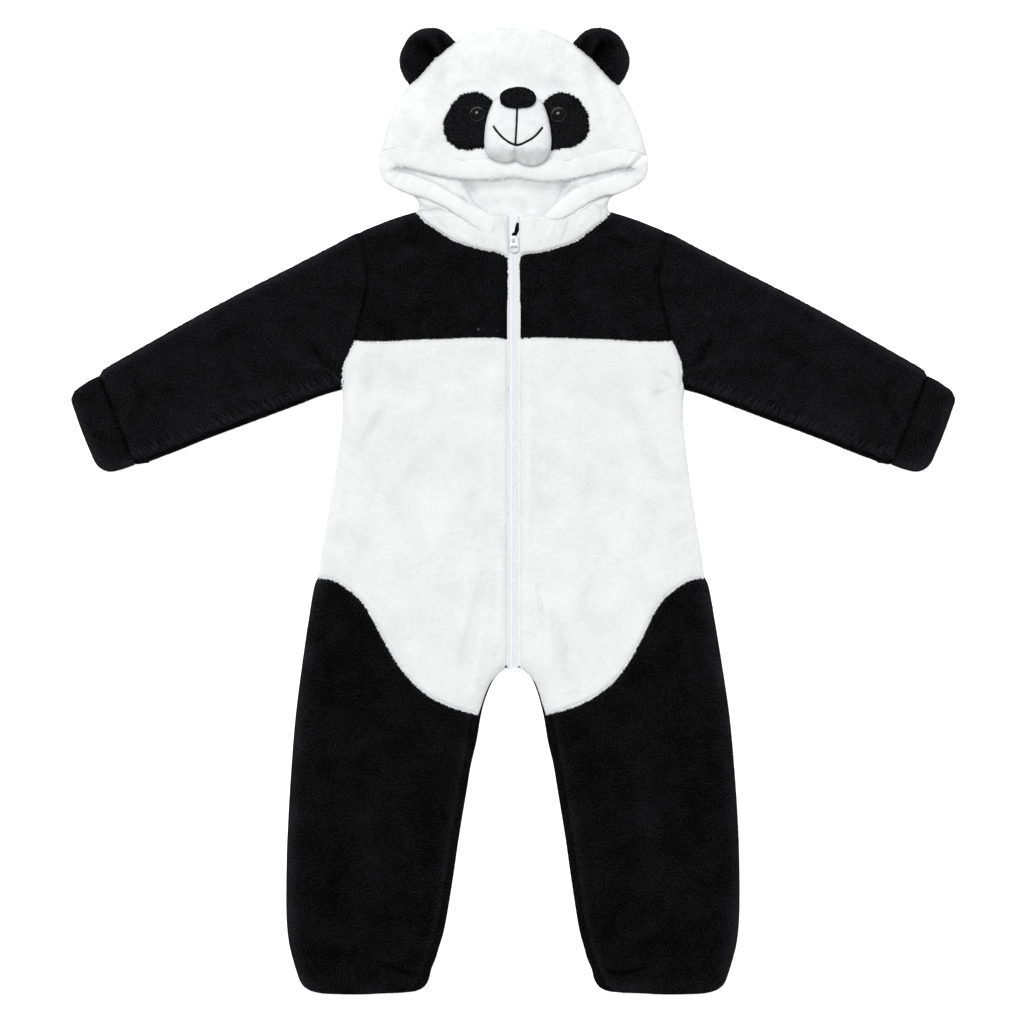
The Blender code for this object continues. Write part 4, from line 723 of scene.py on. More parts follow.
class Cloth:
    """A closed shell: its dense shown face, a plain hidden face and the strip between them."""

    def __init__(self, name, curves, shown, hidden, material, step, base=-math.pi / 2, pile=0.5, wave=5.0, under=9.0, bulge=0.4, seed=1, region=None, coarse=None, turned=False, angle=None, flush=None, tone=None):
        ring = ccw(ring_of(curves, step))
        self.ring = ring
        pts, tris = fill(ring, step, region, coarse, seed)
        n = len(ring)
        nap = nap_angle(pts[:, 0], pts[:, 1], base) if angle is None else angle(pts)
        outer = shown(pts)
        if outer.ndim == 1:
            outer = np.column_stack([pts, outer])
        normal = normals_of(outer, tris)
        order = np.argsort(outer[:, 2])
        probe = order[: len(order) // 8] if turned else order[-(len(order) // 8) :]
        flipped = (normal[probe, 2].mean() > 0) == turned
        if flipped:
            tris, normal = tris[:, ::-1], -normal
        relief = pile * (0.5 * strands(pts[:, 0], pts[:, 1], nap, wave, 41) + 0.3 * strands(pts[:, 0] + 300, pts[:, 1], nap + 0.5, wave * 1.9, 43) + 0.5 * soft(pts[:, 0], pts[:, 1], 4.6, 45))
        lit = np.zeros(len(pts)) if tone is None else tone(outer)
        outer = outer + normal * relief[:, None]
        outer[:, 2] = np.maximum(outer[:, 2], 0.02)
        low_pts, low_tris = fill(ring, under, None, None, seed + 9) if under > step * 1.5 else (pts, tris)
        inner = hidden(low_pts)
        if inner.ndim == 1:
            inner = np.column_stack([low_pts, inner])
        if not flipped:
            low_tris = low_tris[:, ::-1]
        tangent = np.roll(ring, -1, 0) - np.roll(ring, 1, 0)
        tangent = tangent / np.maximum(np.linalg.norm(tangent, axis=1), 1e-9)[:, None]
        outward = np.column_stack([tangent[:, 1], -tangent[:, 0]])
        middle = (outer[:n] + inner[:n]) / 2
        flat = np.linalg.norm(outer[:n, :2] - ring, axis=1) < 2.0
        level = np.zeros(n, bool) if flush is None else flush(ring)
        outer[:n][level, :2] = ring[level] + outward[level] * 0.14
        middle[flat & ~level, :2] += outward[flat & ~level] * bulge
        verts = np.vstack([outer, middle, inner])
        m0, i0 = len(outer), len(outer) + n
        faces = tris.tolist()
        i = np.arange(n)
        j = (i + 1) % n
        for a0, b0 in ((0, m0), (m0, i0)):
            quads = np.column_stack([a0 + i, b0 + i, b0 + j, a0 + j])
            faces += (quads[:, ::-1] if flipped else quads).tolist()
        faces += (low_tris + i0).tolist()
        skin = np.vstack([pts, ring + outward * 1.5, low_pts])
        nap_all = np.concatenate([nap, nap[:n], np.full(len(low_pts), base)])
        self.obj = new_mesh(name, verts, faces, material, skin, nap_all, tone=np.concatenate([lit, lit[:n], np.zeros(len(low_pts))]))
        pairs = level & np.roll(level, -1)
        for strip in (0, 1):
            for k in np.nonzero(pairs)[0]:
                self.obj.data.polygons[len(tris) + strip * n + int(k)].use_smooth = False
        self.name, self.pts, self.tris, self.outer, self.normal, self.nap = name, pts, tris, outer, normal, nap
        self.outward, self.middle, self.n = outward, middle, n
        self.triangles = len(faces) + 2 * n


def spikes(name, at, along, up, length, width, material):
    """Closed four-sided strands, joined in one mesh."""
    at, along, up = (np.asarray(v, float) for v in (at, along, up))
    along = along / np.maximum(np.linalg.norm(along, axis=1), 1e-9)[:, None]
    across = np.cross(up, along)
    across = across / np.maximum(np.linalg.norm(across, axis=1), 1e-9)[:, None]
    high = np.cross(along, across)
    w = np.asarray(width)[:, None]
    verts = np.stack([at - across * w / 2, at + across * w / 2, at + high * w * 0.55, at + along * np.asarray(length)[:, None]], 1).reshape(-1, 3)
    verts[:, 2] = np.maximum(verts[:, 2], 0.02)
    k = np.arange(len(at))[:, None, None] * 4
    faces = (k + np.array([[0, 1, 3], [1, 2, 3], [2, 0, 3], [0, 2, 1]])[None]).reshape(-1, 3)
    return new_mesh(name, verts, faces.tolist(), material, smooth=False)


def surface_tufts(cloth, density, rng, length=(4.0, 6.5), width=(0.8, 1.3), lift=(0.12, 0.32), where=None):
    """Strands lying on a cloth's shown face, along its nap."""
    a, b, c = (cloth.outer[cloth.tris[:, k]] for k in range(3))
    area = np.linalg.norm(np.cross(b - a, c - a), axis=1) / 2
    if where is not None:
        area = area * where((a + b + c)[:, :2] / 3)
    count = int(area.sum() * density)
    pick = np.searchsorted(np.cumsum(area) / area.sum(), rng.random(count))
    u, v = rng.random(count), rng.random(count)
    over = u + v > 1
    u[over], v[over] = 1 - u[over], 1 - v[over]
    at = a[pick] + (b - a)[pick] * u[:, None] + (c - a)[pick] * v[:, None]
    normal = np.cross((b - a)[pick], (c - a)[pick])
    normal /= np.linalg.norm(normal, axis=1)[:, None]
    angle = cloth.nap[cloth.tris[pick, 0]] + rng.normal(0, 0.3, count)
    along = np.column_stack([np.cos(angle), np.sin(angle), np.zeros(count)])
    along -= normal * (along * normal).sum(1)[:, None]
    along /= np.maximum(np.linalg.norm(along, axis=1), 1e-9)[:, None]
    along += normal * rng.uniform(*lift, count)[:, None]
    return at - normal * 0.25, along, normal, rng.uniform(*length, count), rng.uniform(*width, count)


def edge_tufts(line, outward, z, rng, per_mm, length=(1.6, 2.8), width=(0.7, 1.2), lean=0.6, back=0.8, rise_by=(-0.25, 0.35)):
    """Strands along a line in plan that reach outward over an edge. z is the height, lowest and highest, at each point."""
    line, outward, z = (np.asarray(v, float) for v in (line, outward, z))
    run = np.concatenate([[0], np.cumsum(np.linalg.norm(np.diff(line, axis=0), axis=1))])
    count = int(run[-1] * per_mm)
    want = np.sort(rng.random(count)) * run[-1]
    p = np.stack([np.interp(want, run, line[:, k]) for k in range(2)], 1)
    o = np.stack([np.interp(want, run, outward[:, k]) for k in range(2)], 1)
    o /= np.maximum(np.linalg.norm(o, axis=1), 1e-9)[:, None]
    low, high = np.interp(want, run, z[:, 0]), np.interp(want, run, z[:, 1])
    t = np.column_stack([-o[:, 1], o[:, 0]])
    sway = rng.normal(0, lean, count) + 0.5 * soft(p[:, 0], p[:, 1], 9.0, 77)
    share = rng.random(count)
    at = np.column_stack([p - o * back, low + (high - low) * share])
    along = np.column_stack([o + t * sway[:, None], rng.uniform(*rise_by, count)])
    up = np.column_stack([np.zeros((count, 2)), np.ones(count)]) + rng.normal(0, 0.4, (count, 3))
    return at, along, up, rng.uniform(*length, count), rng.uniform(*width, count)


def join_tufts(name, groups, material):
    parts = [np.concatenate([g[k] for g in groups]) for k in range(5)]
    return spikes(name, *parts, material)



# ---------------------------------------------------------------- bookkeeping of pieces
SPENT = {}


def count_of(obj):
    mesh = obj.data
    return sum(len(p.vertices) - 2 for p in mesh.polygons)


def own(obj, nodes=(), body="root"):
    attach(obj, body)
    if nodes:
        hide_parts(*nodes)
    SPENT[obj.name] = count_of(obj)
    return obj


def area_of(ring):
    x, y = ring[:, 0], ring[:, 1]
    return abs((x * np.roll(y, -1) - y * np.roll(x, -1)).sum()) / 2


def cut_size(ring):
    """Width and length of the smallest rectangle that the cut fits in, mm, and the cut's area, mm2."""
    best = None
    for k in range(90):
        a = math.pi * k / 180
        u = ring[:, 0] * math.cos(a) + ring[:, 1] * math.sin(a)
        v = -ring[:, 0] * math.sin(a) + ring[:, 1] * math.cos(a)
        w, l = np.ptp(u), np.ptp(v)
        if best is None or w * l < best[0] * best[1]:
            best = (w, l)
    return min(best), max(best), area_of(ring)


FLATS = []


def laid(cloth_obj, ring):
    w, l, area = cut_size(ring)
    FLATS.append((cloth_obj.name, round(w), round(l), round(area)))


def fuse(base, *others):
    """Joins other meshes to base."""
    with bpy.context.temp_override(active_object=base, object=base, selected_editable_objects=[base, *others], selected_objects=[base, *others]):
        bpy.ops.object.join()
    return base


def ring_share(cloth, keep):
    """Runs of the cloth's ring where keep(points) holds, as picks for strands."""
    ring = cloth.ring
    mask = keep(ring)
    nxt = np.roll(mask, -1)
    return np.nonzero(mask & nxt)[0]


def rim_tufts(cloth, keep, rng, per_mm, length, width, low=0.0, high=1.0, lean=0.6, back=0.8, lift=(-0.25, 0.35), stand=0.0):
    """Strands over the parts of a cloth's ring that keep allows. low and high are shares of the strip's height."""
    idx = ring_share(cloth, keep)
    ring, n = cloth.ring, cloth.n
    step = np.linalg.norm(np.roll(ring, -1, 0) - ring, axis=1)
    count = int(step[idx].sum() * per_mm)
    if not count:
        return tuple(np.zeros((0, 3)) for _ in range(3)) + (np.zeros(0), np.zeros(0))
    pick = rng.choice(idx, count, p=step[idx] / step[idx].sum())
    t = rng.random(count)[:, None]
    p = ring[pick] * (1 - t) + ring[(pick + 1) % n] * t
    o = cloth.outward[pick] * (1 - t) + cloth.outward[(pick + 1) % n] * t
    tangent = np.column_stack([-o[:, 1], o[:, 0]])
    top, mid = cloth.outer[pick, 2], cloth.middle[pick, 2]
    share = low + (high - low) * rng.random(count)
    sway = rng.normal(0, lean, count) + 0.7 * soft(p[:, 0], p[:, 1], 8.0, 77)
    at = np.column_stack([p - o * back, mid + (top - mid) * share + stand])
    along = np.column_stack([o + tangent * sway[:, None], rng.uniform(*lift, count)])
    up = np.column_stack([np.zeros((count, 2)), np.ones(count)]) + rng.normal(0, 0.35, (count, 3))
    return at, along, up, rng.uniform(*length, count), rng.uniform(*width, count)


def at_edge(ring_or_side):
    return lambda r: outline_distance(r) < 0.8


def near(line, reach):
    line = np.asarray(line, float)
    return lambda r: away(r, line) < reach


RNG = np.random.default_rng(2024)
CLOTHS, PILES = {}, {}


# ---------------------------------------------------------------- seams that lower the front
def line_of(points, side=1):
    return smooth_line(flip(points, side), 3.0)


SEAMS = {}
for side in (LEFT, RIGHT):
    SEAMS[side] = {
        "arm": line_of(ARMHOLE_LEFT if side == LEFT else ARMHOLE, side),
        "front": line_of(FRONT_SEAM, side),
        "yoke": line_of(YOKE_SEAM, side),
        "neck": line_of(NECK_SEAM[side], side),
        "cuff": line_of(CUFF_SEAM, side),
        "inner": line_of(INNER_SEAM, side),
        "zip": np.array([(side * ZIP_EDGE[side], -175.0), (side * ZIP_EDGE[side], 276.0)]),
    }


def shown_front(names, side, deep=2.4):
    lines = [SEAMS[side][k] for k in names]

    def height(p):
        z = front_height(p)
        d = np.full(len(p), 1e9)
        for line in lines:
            d = np.minimum(d, away(p, line))
        return z - seam_drop(d, deep) * (0.2 + 0.8 * rise(outline_distance(p), 9.0))

    return height


def lower_front(p, wall=3.0, floor=3.2):
    return np.maximum(front_height(p) - wall, floor)


def lower_edge(p):
    """The front's underside: it comes down onto the back at the outline."""
    return 3.2 + (lower_front(p) - 3.2) * rise(outline_distance(p), 12.0)


def rolled(p, folds, gain, wide, lines=()):
    """Painted light: a painted highlight where the pile rolls over the outline and on ridges, painted shade in creases;
    each of lines adds painted light or shade along a seam.
    """
    d = outline_distance(p[:, :2])
    tone = gain * np.exp(-((np.maximum(d - 1.0, 0) / wide) ** 1.6)) * (1 + 0.5 * soft(p[:, 0], p[:, 1], 26.0, 97))
    tone += 0.12 * np.clip(fold_height(p[:, :2], folds), -2.6, 2.0)
    for line, change, reach in lines:
        tone += change * np.exp(-((away(p[:, :2], line) / reach) ** 2))
    return tone


NECK_LOW = np.vstack([SEAMS[s]["neck"] for s in (LEFT, RIGHT)])
ARCH = np.vstack([smooth_line(flip(CROTCH[1:], s), 2.0) for s in (1, -1)])


# painted light: shade in creases, along the crotch's arch and along the seams, a little light on ridges; plus a slow
# random mottle
def body_painted_light_and_mottle(q):
    p = q[:, :2]
    t = 0.085 * np.clip(fold_height(p, FOLDS), -2.6, 1.0)
    t -= 0.34 * np.exp(-((away(p, ARCH) / 5.0) ** 1.3)) * (0.75 + 0.5 * strands(p[:, 0], p[:, 1], np.arctan2(p[:, 1] + 214.0, p[:, 0]), 3.4, 117))
    for side in (LEFT, RIGHT):
        t -= 0.16 * np.exp(-((away(p, SEAMS[side]["arm"]) / 3.0) ** 2)) + 0.1 * np.exp(-((away(p, SEAMS[side]["yoke"]) / 3.0) ** 2))
        t -= 0.12 * np.exp(-((away(p, SEAMS[side]["zip"]) / 2.4) ** 2))
    return t + 0.07 * soft(p[:, 0], p[:, 1], 30.0, 115)


HEM = np.column_stack([np.arange(-262.0, 263.0, 4.0), np.full(132, -533.0)])

# ---------------------------------------------------------------- front panels
for side in (LEFT, RIGHT):
    word, edge = NAMES[side], ZIP_EDGE[side]
    arm = ARMHOLE_LEFT if side == LEFT else ARMHOLE
    arm = [(168.5, 305.4)] + arm[1:]
    seam_base = -math.pi / 2 + side * 0.15

    # yoke
    curves = [NECK_SEAM[side][:-1] + [(edge, NECK_SEAM[side][-1][1])], [(edge, NECK_SEAM[side][-1][1]), (edge, 188.4)], [(edge, 188.4)] + YOKE_SEAM[1:], [(174.6, 186.2)] + arm[:5][::-1], [(168.5, 305.4)] + SHOULDER[:-1][::-1][:-1] + [NECK_SEAM[side][0]]]
    curves = [flip(c, side) for c in curves]
    # tone: painted highlight on the rolled outline, on ridges and beside the neck seam, painted shade in creases and in
    # the armhole seams
    yoke = Cloth(f"front_yoke_{word}_plush", curves, shown_front(("arm", "yoke", "neck", "zip"), side), lower_edge, BLACK, 2.1, base=seam_base, pile=0.34, wave=5.2, tone=lambda q: 0.05 + rolled(q, FOLDS, 0.34, 6.5, [(SEAMS[RIGHT]["arm"], -0.12, 2.0), (SEAMS[LEFT]["arm"], -0.12, 2.0), (NECK_LOW, 0.12, 4.0)]))
    CLOTHS[f"front_yoke_{word}"] = yoke

    # body
    curves = [[(edge, 188.4)] + YOKE_SEAM[1:], arm[5:-1] + [(187.6, 133.3)], SIDE[:5] + [HIP], FRONT_SEAM, CROTCH, [CROTCH[-1], (edge, -172.8)], [(edge, -172.8), (edge, 188.4)]]
    curves = [flip(c, side) for c in curves]
    body = Cloth(f"front_body_{word}_plush", curves, shown_front(("arm", "front", "yoke", "zip"), side), lower_edge, WHITE, 1.75, base=-math.pi / 2 + side * 0.35, pile=0.3, wave=4.4, tone=lambda q: body_painted_light_and_mottle(q))
    CLOTHS[f"front_body_{word}"] = body

    # leg: its inner edge is the seam, a little inside the outline
    inner = [CROTCH_END] + INNER_SEAM + [(107.0, -522.5), (113.0, -527.0), (121.5, -529.8)]
    bottom = [p for p in SIDE if p[1] < -500 and 121 < p[0] < 250]
    outer = [HIP] + [p for p in SIDE if -529.7 < p[1] < -74.0 and p[0] > 200.0 and p[1] > -500] + [p for p in SIDE if p[1] <= -500 and p[0] >= 121.5]
    curves = [inner, [(121.5, -529.8)] + outer[::-1][1:], FRONT_SEAM]
    curves = [flip(c, side) for c in curves]
    # tone: painted highlight on the rolled outline and beside the front and inner seams, painted shade in the inner
    # seam, along the hem and in creases
    leg = Cloth(f"leg_front_{word}_plush", curves, shown_front(("front", "inner"), side), lower_edge, BLACK, 2.1, base=seam_base, pile=0.34, wave=5.2, tone=lambda q: -0.02 + rolled(q, FOLDS, 0.42, 8.5, [(SEAMS[side]["front"], 0.16, 5.0), (SEAMS[side]["inner"], -0.26, 1.8), (SEAMS[side]["inner"], 0.12, 7.0), (HEM, -0.34, 9.0)]))
    CLOTHS[f"leg_front_{word}"] = leg


# ---------------------------------------------------------------- lofts: rolled strips and bands
class Band:
    """A closed soft tube through columns of x, y outside; x, y inside; low; high. Its pile and its skin follow its length."""

    def __init__(self, name, columns, side, material, step, around, pile=0.45, wave=4.6, square=0.8, creases=(), seed=1, base=0.0, slope=0.0, inner_square=None, shade=None):
        fine = smooth_line_table(columns, step)
        n = len(fine)
        run = np.concatenate([[0], np.cumsum(np.linalg.norm(np.diff((fine[:, :2] + fine[:, 2:4]) / 2, axis=0), axis=1))])
        a = 2 * np.pi * np.arange(around) / around
        box = np.clip(fine[:, 6], 0, 1) if fine.shape[1] > 6 else np.zeros(n)
        inner_power = square if inner_square is None else square * (1 - box[:, None]) + inner_square * box[:, None]
        power = np.where(np.cos(a)[None] > 0, square * (1 - box[:, None]) + 0.22 * box[:, None], inner_power)
        s = 0.5 - 0.5 * np.sign(np.cos(a))[None] * np.abs(np.cos(a))[None] ** power
        t = np.sign(np.sin(a))[None] * np.abs(np.sin(a))[None] ** power
        o, i = fine[:, None, :2], fine[:, None, 2:4]
        plan = o + (i - o) * s[..., None]
        middle, half = (fine[:, 4] + fine[:, 5]) / 2, (fine[:, 5] - fine[:, 4]) / 2
        z = middle[:, None] + half[:, None] * t - slope * box[:, None] * np.clip(s, 0, 1) ** 3 * (0.5 + 0.5 * t)
        grid = np.concatenate([plan, z[..., None]], 2)
        grid[..., 0] *= side
        u = np.repeat(run[:, None], around, 1)
        faces = []
        idx = np.arange(n * around).reshape(n, around)
        quads = np.stack([idx[:-1], np.roll(idx, -1, 1)[:-1], np.roll(idx, -1, 1)[1:], idx[1:]], -1).reshape(-1, 4)
        flat = grid.reshape(-1, 3)
        b = flat[quads]
        centre = np.repeat(grid.mean(1), around, 0)
        normal = np.cross(b[:, 2] - b[:, 0], b[:, 3] - b[:, 1])
        mid_of_tube = centre[quads[:, 0]]
        sign = ((b.mean(1) - mid_of_tube) * normal).sum(1).sum()
        if sign < 0:
            quads = quads[:, ::-1]
            normal = -normal
        vn = np.zeros_like(flat)
        for k in range(4):
            np.add.at(vn, quads[:, k], normal)
        vn /= np.maximum(np.linalg.norm(vn, axis=1), 1e-9)[:, None]
        # the tube's girth closes on itself, so the streaks come from points in space
        space_u = flat[:, 0] + 0.4 * flat[:, 2]
        space_v = flat[:, 1] + 0.9 * flat[:, 2]
        heading = np.arctan2(side * np.gradient(grid[..., 1].mean(1)), side * np.gradient(grid[..., 0].mean(1)))
        nap = nap_angle(space_u, space_v, 0.0, seed) + np.repeat(heading, around) + base
        relief = pile * (0.5 * strands(space_u, space_v, nap, wave, 41) + 0.3 * strands(space_u + 300, space_v, nap + 0.5, wave * 1.9, 43) + 0.5 * soft(space_u, space_v, 4.6, 45))
        for where, reach, deep in creases:
            relief += deep * np.exp(-(((u.ravel() - where) / reach) ** 2)) * (0.5 + 0.5 * t.ravel())
        relief *= rise(run[-1] - u.ravel() + 0.6, 3.0)
        flat = flat + vn * relief[:, None]
        flat[:, 2] = np.maximum(flat[:, 2], 0.02)
        faces = quads.tolist()
        first, last = idx[0].tolist(), idx[-1].tolist()
        # end caps wind against the sides
        q = quads[0].tolist()
        forward = q.index(idx[0, 1]) == (q.index(idx[0, 0]) + 1) % 4 if idx[0, 1] in q else True
        faces.append(first[::-1] if forward else first)
        faces.append(last if forward else last[::-1])
        skin = np.column_stack([space_u, space_v])
        self.obj = new_mesh(name, flat, faces, material, skin, nap, tone=None if shade is None else shade(flat, vn))
        for cap in (-1, -2):
            self.obj.data.polygons[len(faces) + cap].use_smooth = False
        self.verts, self.normals, self.quads, self.nap, self.run, self.fine, self.around = flat, vn, quads, nap, run, fine, around
        self.u = u.ravel()
        self.grid = idx


def smooth_line_table(columns, step):
    """A table of columns resampled along the middle of its first four entries."""
    c = np.array(columns, float)
    mid = np.column_stack([(c[:, 0] + c[:, 2]) / 2, (c[:, 1] + c[:, 3]) / 2])
    joined = np.column_stack([mid, c])
    return smooth_line([tuple(r) for r in joined], step)[:, 2:]


def band_tufts(band, rng, density, length, width, pick=None, lift=(0.1, 0.4), outward_only=None):
    quads = band.quads if pick is None else band.quads[pick(band.verts[band.quads].mean(1), band.normals[band.quads].mean(1))]
    b = band.verts[quads]
    area = np.linalg.norm(np.cross(b[:, 2] - b[:, 0], b[:, 3] - b[:, 1]), axis=1) / 2
    count = int(area.sum() * density)
    which = rng.choice(len(quads), count, p=area / area.sum())
    s, t = rng.random((2, count))
    q = b[which]
    at = q[:, 0] * ((1 - s) * (1 - t))[:, None] + q[:, 1] * (s * (1 - t))[:, None] + q[:, 2] * (s * t)[:, None] + q[:, 3] * ((1 - s) * t)[:, None]
    normal = band.normals[quads[which]].mean(1)
    normal /= np.maximum(np.linalg.norm(normal, axis=1), 1e-9)[:, None]
    angle = band.nap[quads[which, 0]] + rng.normal(0, 0.4, count)
    along = np.column_stack([np.cos(angle), np.sin(angle), np.zeros(count)])
    along -= normal * (along * normal).sum(1)[:, None]
    along /= np.maximum(np.linalg.norm(along, axis=1), 1e-9)[:, None]
    along += normal * rng.uniform(*lift, count)[:, None]
    if outward_only is not None:
        along += outward_only(at, normal)
    return at - normal * 0.3, along, normal, rng.uniform(*length, count), rng.uniform(*width, count)


# ---------------------------------------------------------------- sleeves and cuffs, folded along their top
FOLD = 4.2


class Wrap:
    """Maps the unfolded cut of a sleeve to its place: a runs from the shoulder to the wrist, s from the fold,
    positive on the front and negative on the back."""

    def __init__(self, top, start, end):
        self.start, line = np.array(start, float), np.array(end, float) - np.array(start, float)
        self.u = line / np.linalg.norm(line)
        self.n = np.array([-self.u[1], self.u[0]])
        if self.n[1] < 0:
            self.n = -self.n
        fine = smooth_line(top, 1.0) - self.start
        self.ta, self.tb = fine @ self.u, fine @ self.n
        order = np.argsort(self.ta)
        self.ta, self.tb = self.ta[order], self.tb[order]

    def top(self, a):
        return np.interp(a, self.ta, self.tb)

    def unfold(self, p):
        q = np.asarray(p, float) - self.start
        a, b = q @ self.u, q @ self.n
        d = np.maximum(self.top(a) - b, 0.0)
        arc = np.clip(1 - d / FOLD, -1, 1)
        s = np.where(d < FOLD, FOLD * np.arccos(arc), d - FOLD + FOLD * math.pi / 2)
        return np.column_stack([a, s])

    def place(self, q, side, front, radius=3.8, deep=None):
        a, s = q[:, 0], q[:, 1]
        reach = np.abs(s)
        turn = np.clip(reach / FOLD, 0, math.pi / 2)
        d = np.where(reach < FOLD * math.pi / 2, FOLD * (1 - np.cos(turn)), reach - FOLD * math.pi / 2 + FOLD)
        b = self.top(a) - d
        p = self.start + a[:, None] * self.u + b[:, None] * self.n
        p = p * np.array([side, 1.0])
        high = front(p, np.where(s > 0, d, 0.0))
        z = np.where(s > 0, radius + (high - radius) * np.sin(turn), radius * (1 - np.sin(turn)))
        return np.column_stack([p, z])


SLEEVE_WRAP = Wrap([(160.0, 311.0)] + SLEEVE_TOP, (168.7, 306.2), (455.0, 148.6))
UNDERARM = [(185.0, 138.4), (199.4, 133.2), (211.4, 129.2), (235.4, 120.6), (288.0, 101.3), (340.7, 81.5), (380.2, 65.8), (401.8, 57.5), (412.0, 55.2), (418.6, 54.6)]


def sleeve_surface(side, wrap, lines, deep=2.2, raised=0.0):
    def front(p, d):
        z = front_height(p) + raised
        near_line = np.full(len(p), 1e9)
        for line in lines:
            near_line = np.minimum(near_line, away(p, line))
        return z - seam_drop(near_line, deep) * (0.25 + 0.75 * rise(outline_distance(p), 8.0))

    return lambda q: wrap.place(q, side, front)


def combed(q, under):
    """Locks of pile lying slantwise above the seam under the arm."""
    d = away(q[:, :2], under)
    band = np.exp(-(((d - 10.0) / 7.0) ** 2))
    lean = np.where(q[:, 0] > 0, 1.0, -1.0) * 0.85
    locks = strands(q[:, 0], q[:, 1], lean, 5.2, 131)
    return 0.12 + band * (0.06 + 0.34 * locks)


def inside_of(shown, wall=3.0):
    """A wall inside a folded surface."""

    def hidden(q):
        p = shown(q)
        pu, pv = shown(q + np.array([0.5, 0.0])), shown(q + np.array([0.0, 0.5]))
        n = np.cross(pu - p, pv - p)
        n /= np.maximum(np.linalg.norm(n, axis=1), 1e-9)[:, None]
        front = q[:, 1] > 12.0
        if n[front, 2].mean() < 0:
            n = -n
        return p - n * wall

    return hidden


for side in (LEFT, RIGHT):
    word = NAMES[side]
    arm = ARMHOLE_LEFT if side == LEFT else ARMHOLE
    arm = [(166.9, 306.4)] + [(x + 0.1 - 1.2 * max(0.0, (y - 250.0) / 50.0), y) for x, y in arm[1:-1]]
    wrap = SLEEVE_WRAP
    under = SEAMS[side]["under"] = smooth_line(flip(UNDERARM, side), 3.0)
    shown = sleeve_surface(side, wrap, (SEAMS[side]["arm"], SEAMS[side]["cuff"], under))

    def cut(points):
        return wrap.unfold(np.array(points, float))

    front_arm = cut(arm + [UNDERARM[0]])
    front_low = cut(UNDERARM[:-1] + [(419.0, 55.6)])
    front_cuff = cut([(419.0, 55.6), (437.0, 101.0), (454.9, 147.9)])
    back_cuff = cut([(454.9, 147.9), (437.0, 101.0), (418.4, 51.8)]) * (1, -1)
    back_low = cut([(418.4, 51.8)] + SLEEVE_LOW[::-1][1:]) * (1, -1)
    back_arm = cut([(185.4, 134.0)] + arm[::-1]) * (1, -1)
    back_arm[-1] = front_arm[0] * (1, -1) + (0, 0)
    top_gap = [tuple(back_arm[-1]), (front_arm[0][0], 0.0), tuple(front_arm[0])]
    wrist_gap = [tuple(front_cuff[-1]), (front_cuff[-1][0], 0.0), tuple(front_cuff[-1] * (1, -1))]
    back_cuff[0] = wrist_gap[-1]
    curves = [front_arm, front_low, front_cuff, wrist_gap, back_cuff, back_low, back_arm, top_gap]
    curves = [[tuple(q) for q in c] for c in curves]
    # tone: the combed locks of pile, a painted highlight along the top fold and on the ridge above the underarm seam,
    # painted shade in the seams under the arm, at the armhole and at the cuff
    sleeve = Cloth(
        f"sleeve_{word}_plush", curves, shown, inside_of(shown), BLACK, 2.15, base=0.2, pile=0.34, wave=5.2, under=7.0, bulge=0.0,
        tone=lambda q, side=side: combed(q, SEAMS[side]["under"]) + rolled(q, FOLDS, 0.12, 4.0, [(line_of(SLEEVE_TOP, side), 0.42, 6.0), (SEAMS[side]["under"], -0.26, 1.8), (SEAMS[side]["under"] + np.array([0.0, 8.0]), 0.16, 5.0), (SEAMS[side]["arm"], -0.12, 2.0), (SEAMS[side]["cuff"], -0.22, 2.2)]),
        region=lambda q: q[:, 1] > -12.0, coarse=4.5, turned=False,
        angle=lambda q: nap_angle(q[:, 0] * side, q[:, 1] + 900, -0.5 * side + (math.pi if side < 0 else 0)),
    )
    CLOTHS[f"sleeve_{word}"] = sleeve


    # cuff: turned back on itself, a little fuller than the sleeve
    wrap = Wrap([(452.0, 150.0)] + CUFF_TOP, (455.0, 148.6), (481.4, 132.9))
    shown = sleeve_surface(side, wrap, (SEAMS[side]["cuff"],), raised=0.9)
    seam = [(455.6, 148.2), (436.2, 100.9), (426.0, 76.9), (417.4, 52.6)]
    rim = CUFF_RIM
    low = CUFF_LOW
    f_seam, f_rim, f_low = cut(seam), cut(rim), cut(low)
    top_in = [tuple(f_seam[0] * (1, -1)), (f_seam[0][0], 0.0), tuple(f_seam[0])]
    f_rim[0, 1] = 0.0
    curves = [f_seam, f_low[::-1], f_rim[::-1], f_rim * (1, -1), f_low * (1, -1), f_seam[::-1] * (1, -1), top_in]
    curves = [[tuple(q) for q in c] for c in curves]
    # tone: painted highlight on the rolled outline, painted shade in creases and in the cuff's seam
    cuff = Cloth(
        f"cuff_{word}_plush", curves, shown, inside_of(shown, 3.6), BLACK, 1.9, base=0.2, pile=0.32, wave=5.0, under=5.0, bulge=0.0, tone=lambda q: 0.1 + rolled(q, FOLDS, 0.32, 5.5, [(SEAMS[side]["cuff"], -0.22, 2.2)]),
        region=lambda q: q[:, 1] > -12.0, coarse=4.0,
        angle=lambda q: nap_angle(q[:, 0] * side, q[:, 1] + 1300, -0.9 * side + (math.pi if side < 0 else 0)),
    )
    CLOTHS[f"cuff_{word}"] = cuff

# ---------------------------------------------------------------- the back, flat where it lies
BACK_SEAM = [HIP, (197.0, -77.5), (176.0, -88.0), (150.0, -104.0), (120.0, -121.0), (86.0, -137.0), (48.0, -149.5), (0.0, -157.0)]
BACK_LINES = [smooth_line(flip(BACK_SEAM, s), 3.0) for s in (1, -1)] + [line_of(YOKE_SEAM, 1), line_of(YOKE_SEAM, -1), line_of([(0.0, 320.6), (60.0, 322.6), (104.0, 329.0)]), line_of([(0.0, 320.6), (60.0, 322.6), (104.0, 329.0)], -1), np.array([(0.0, 330.0), (0.0, 531.0)]), np.array([(0.0, -157.0), (0.0, -173.0)])]


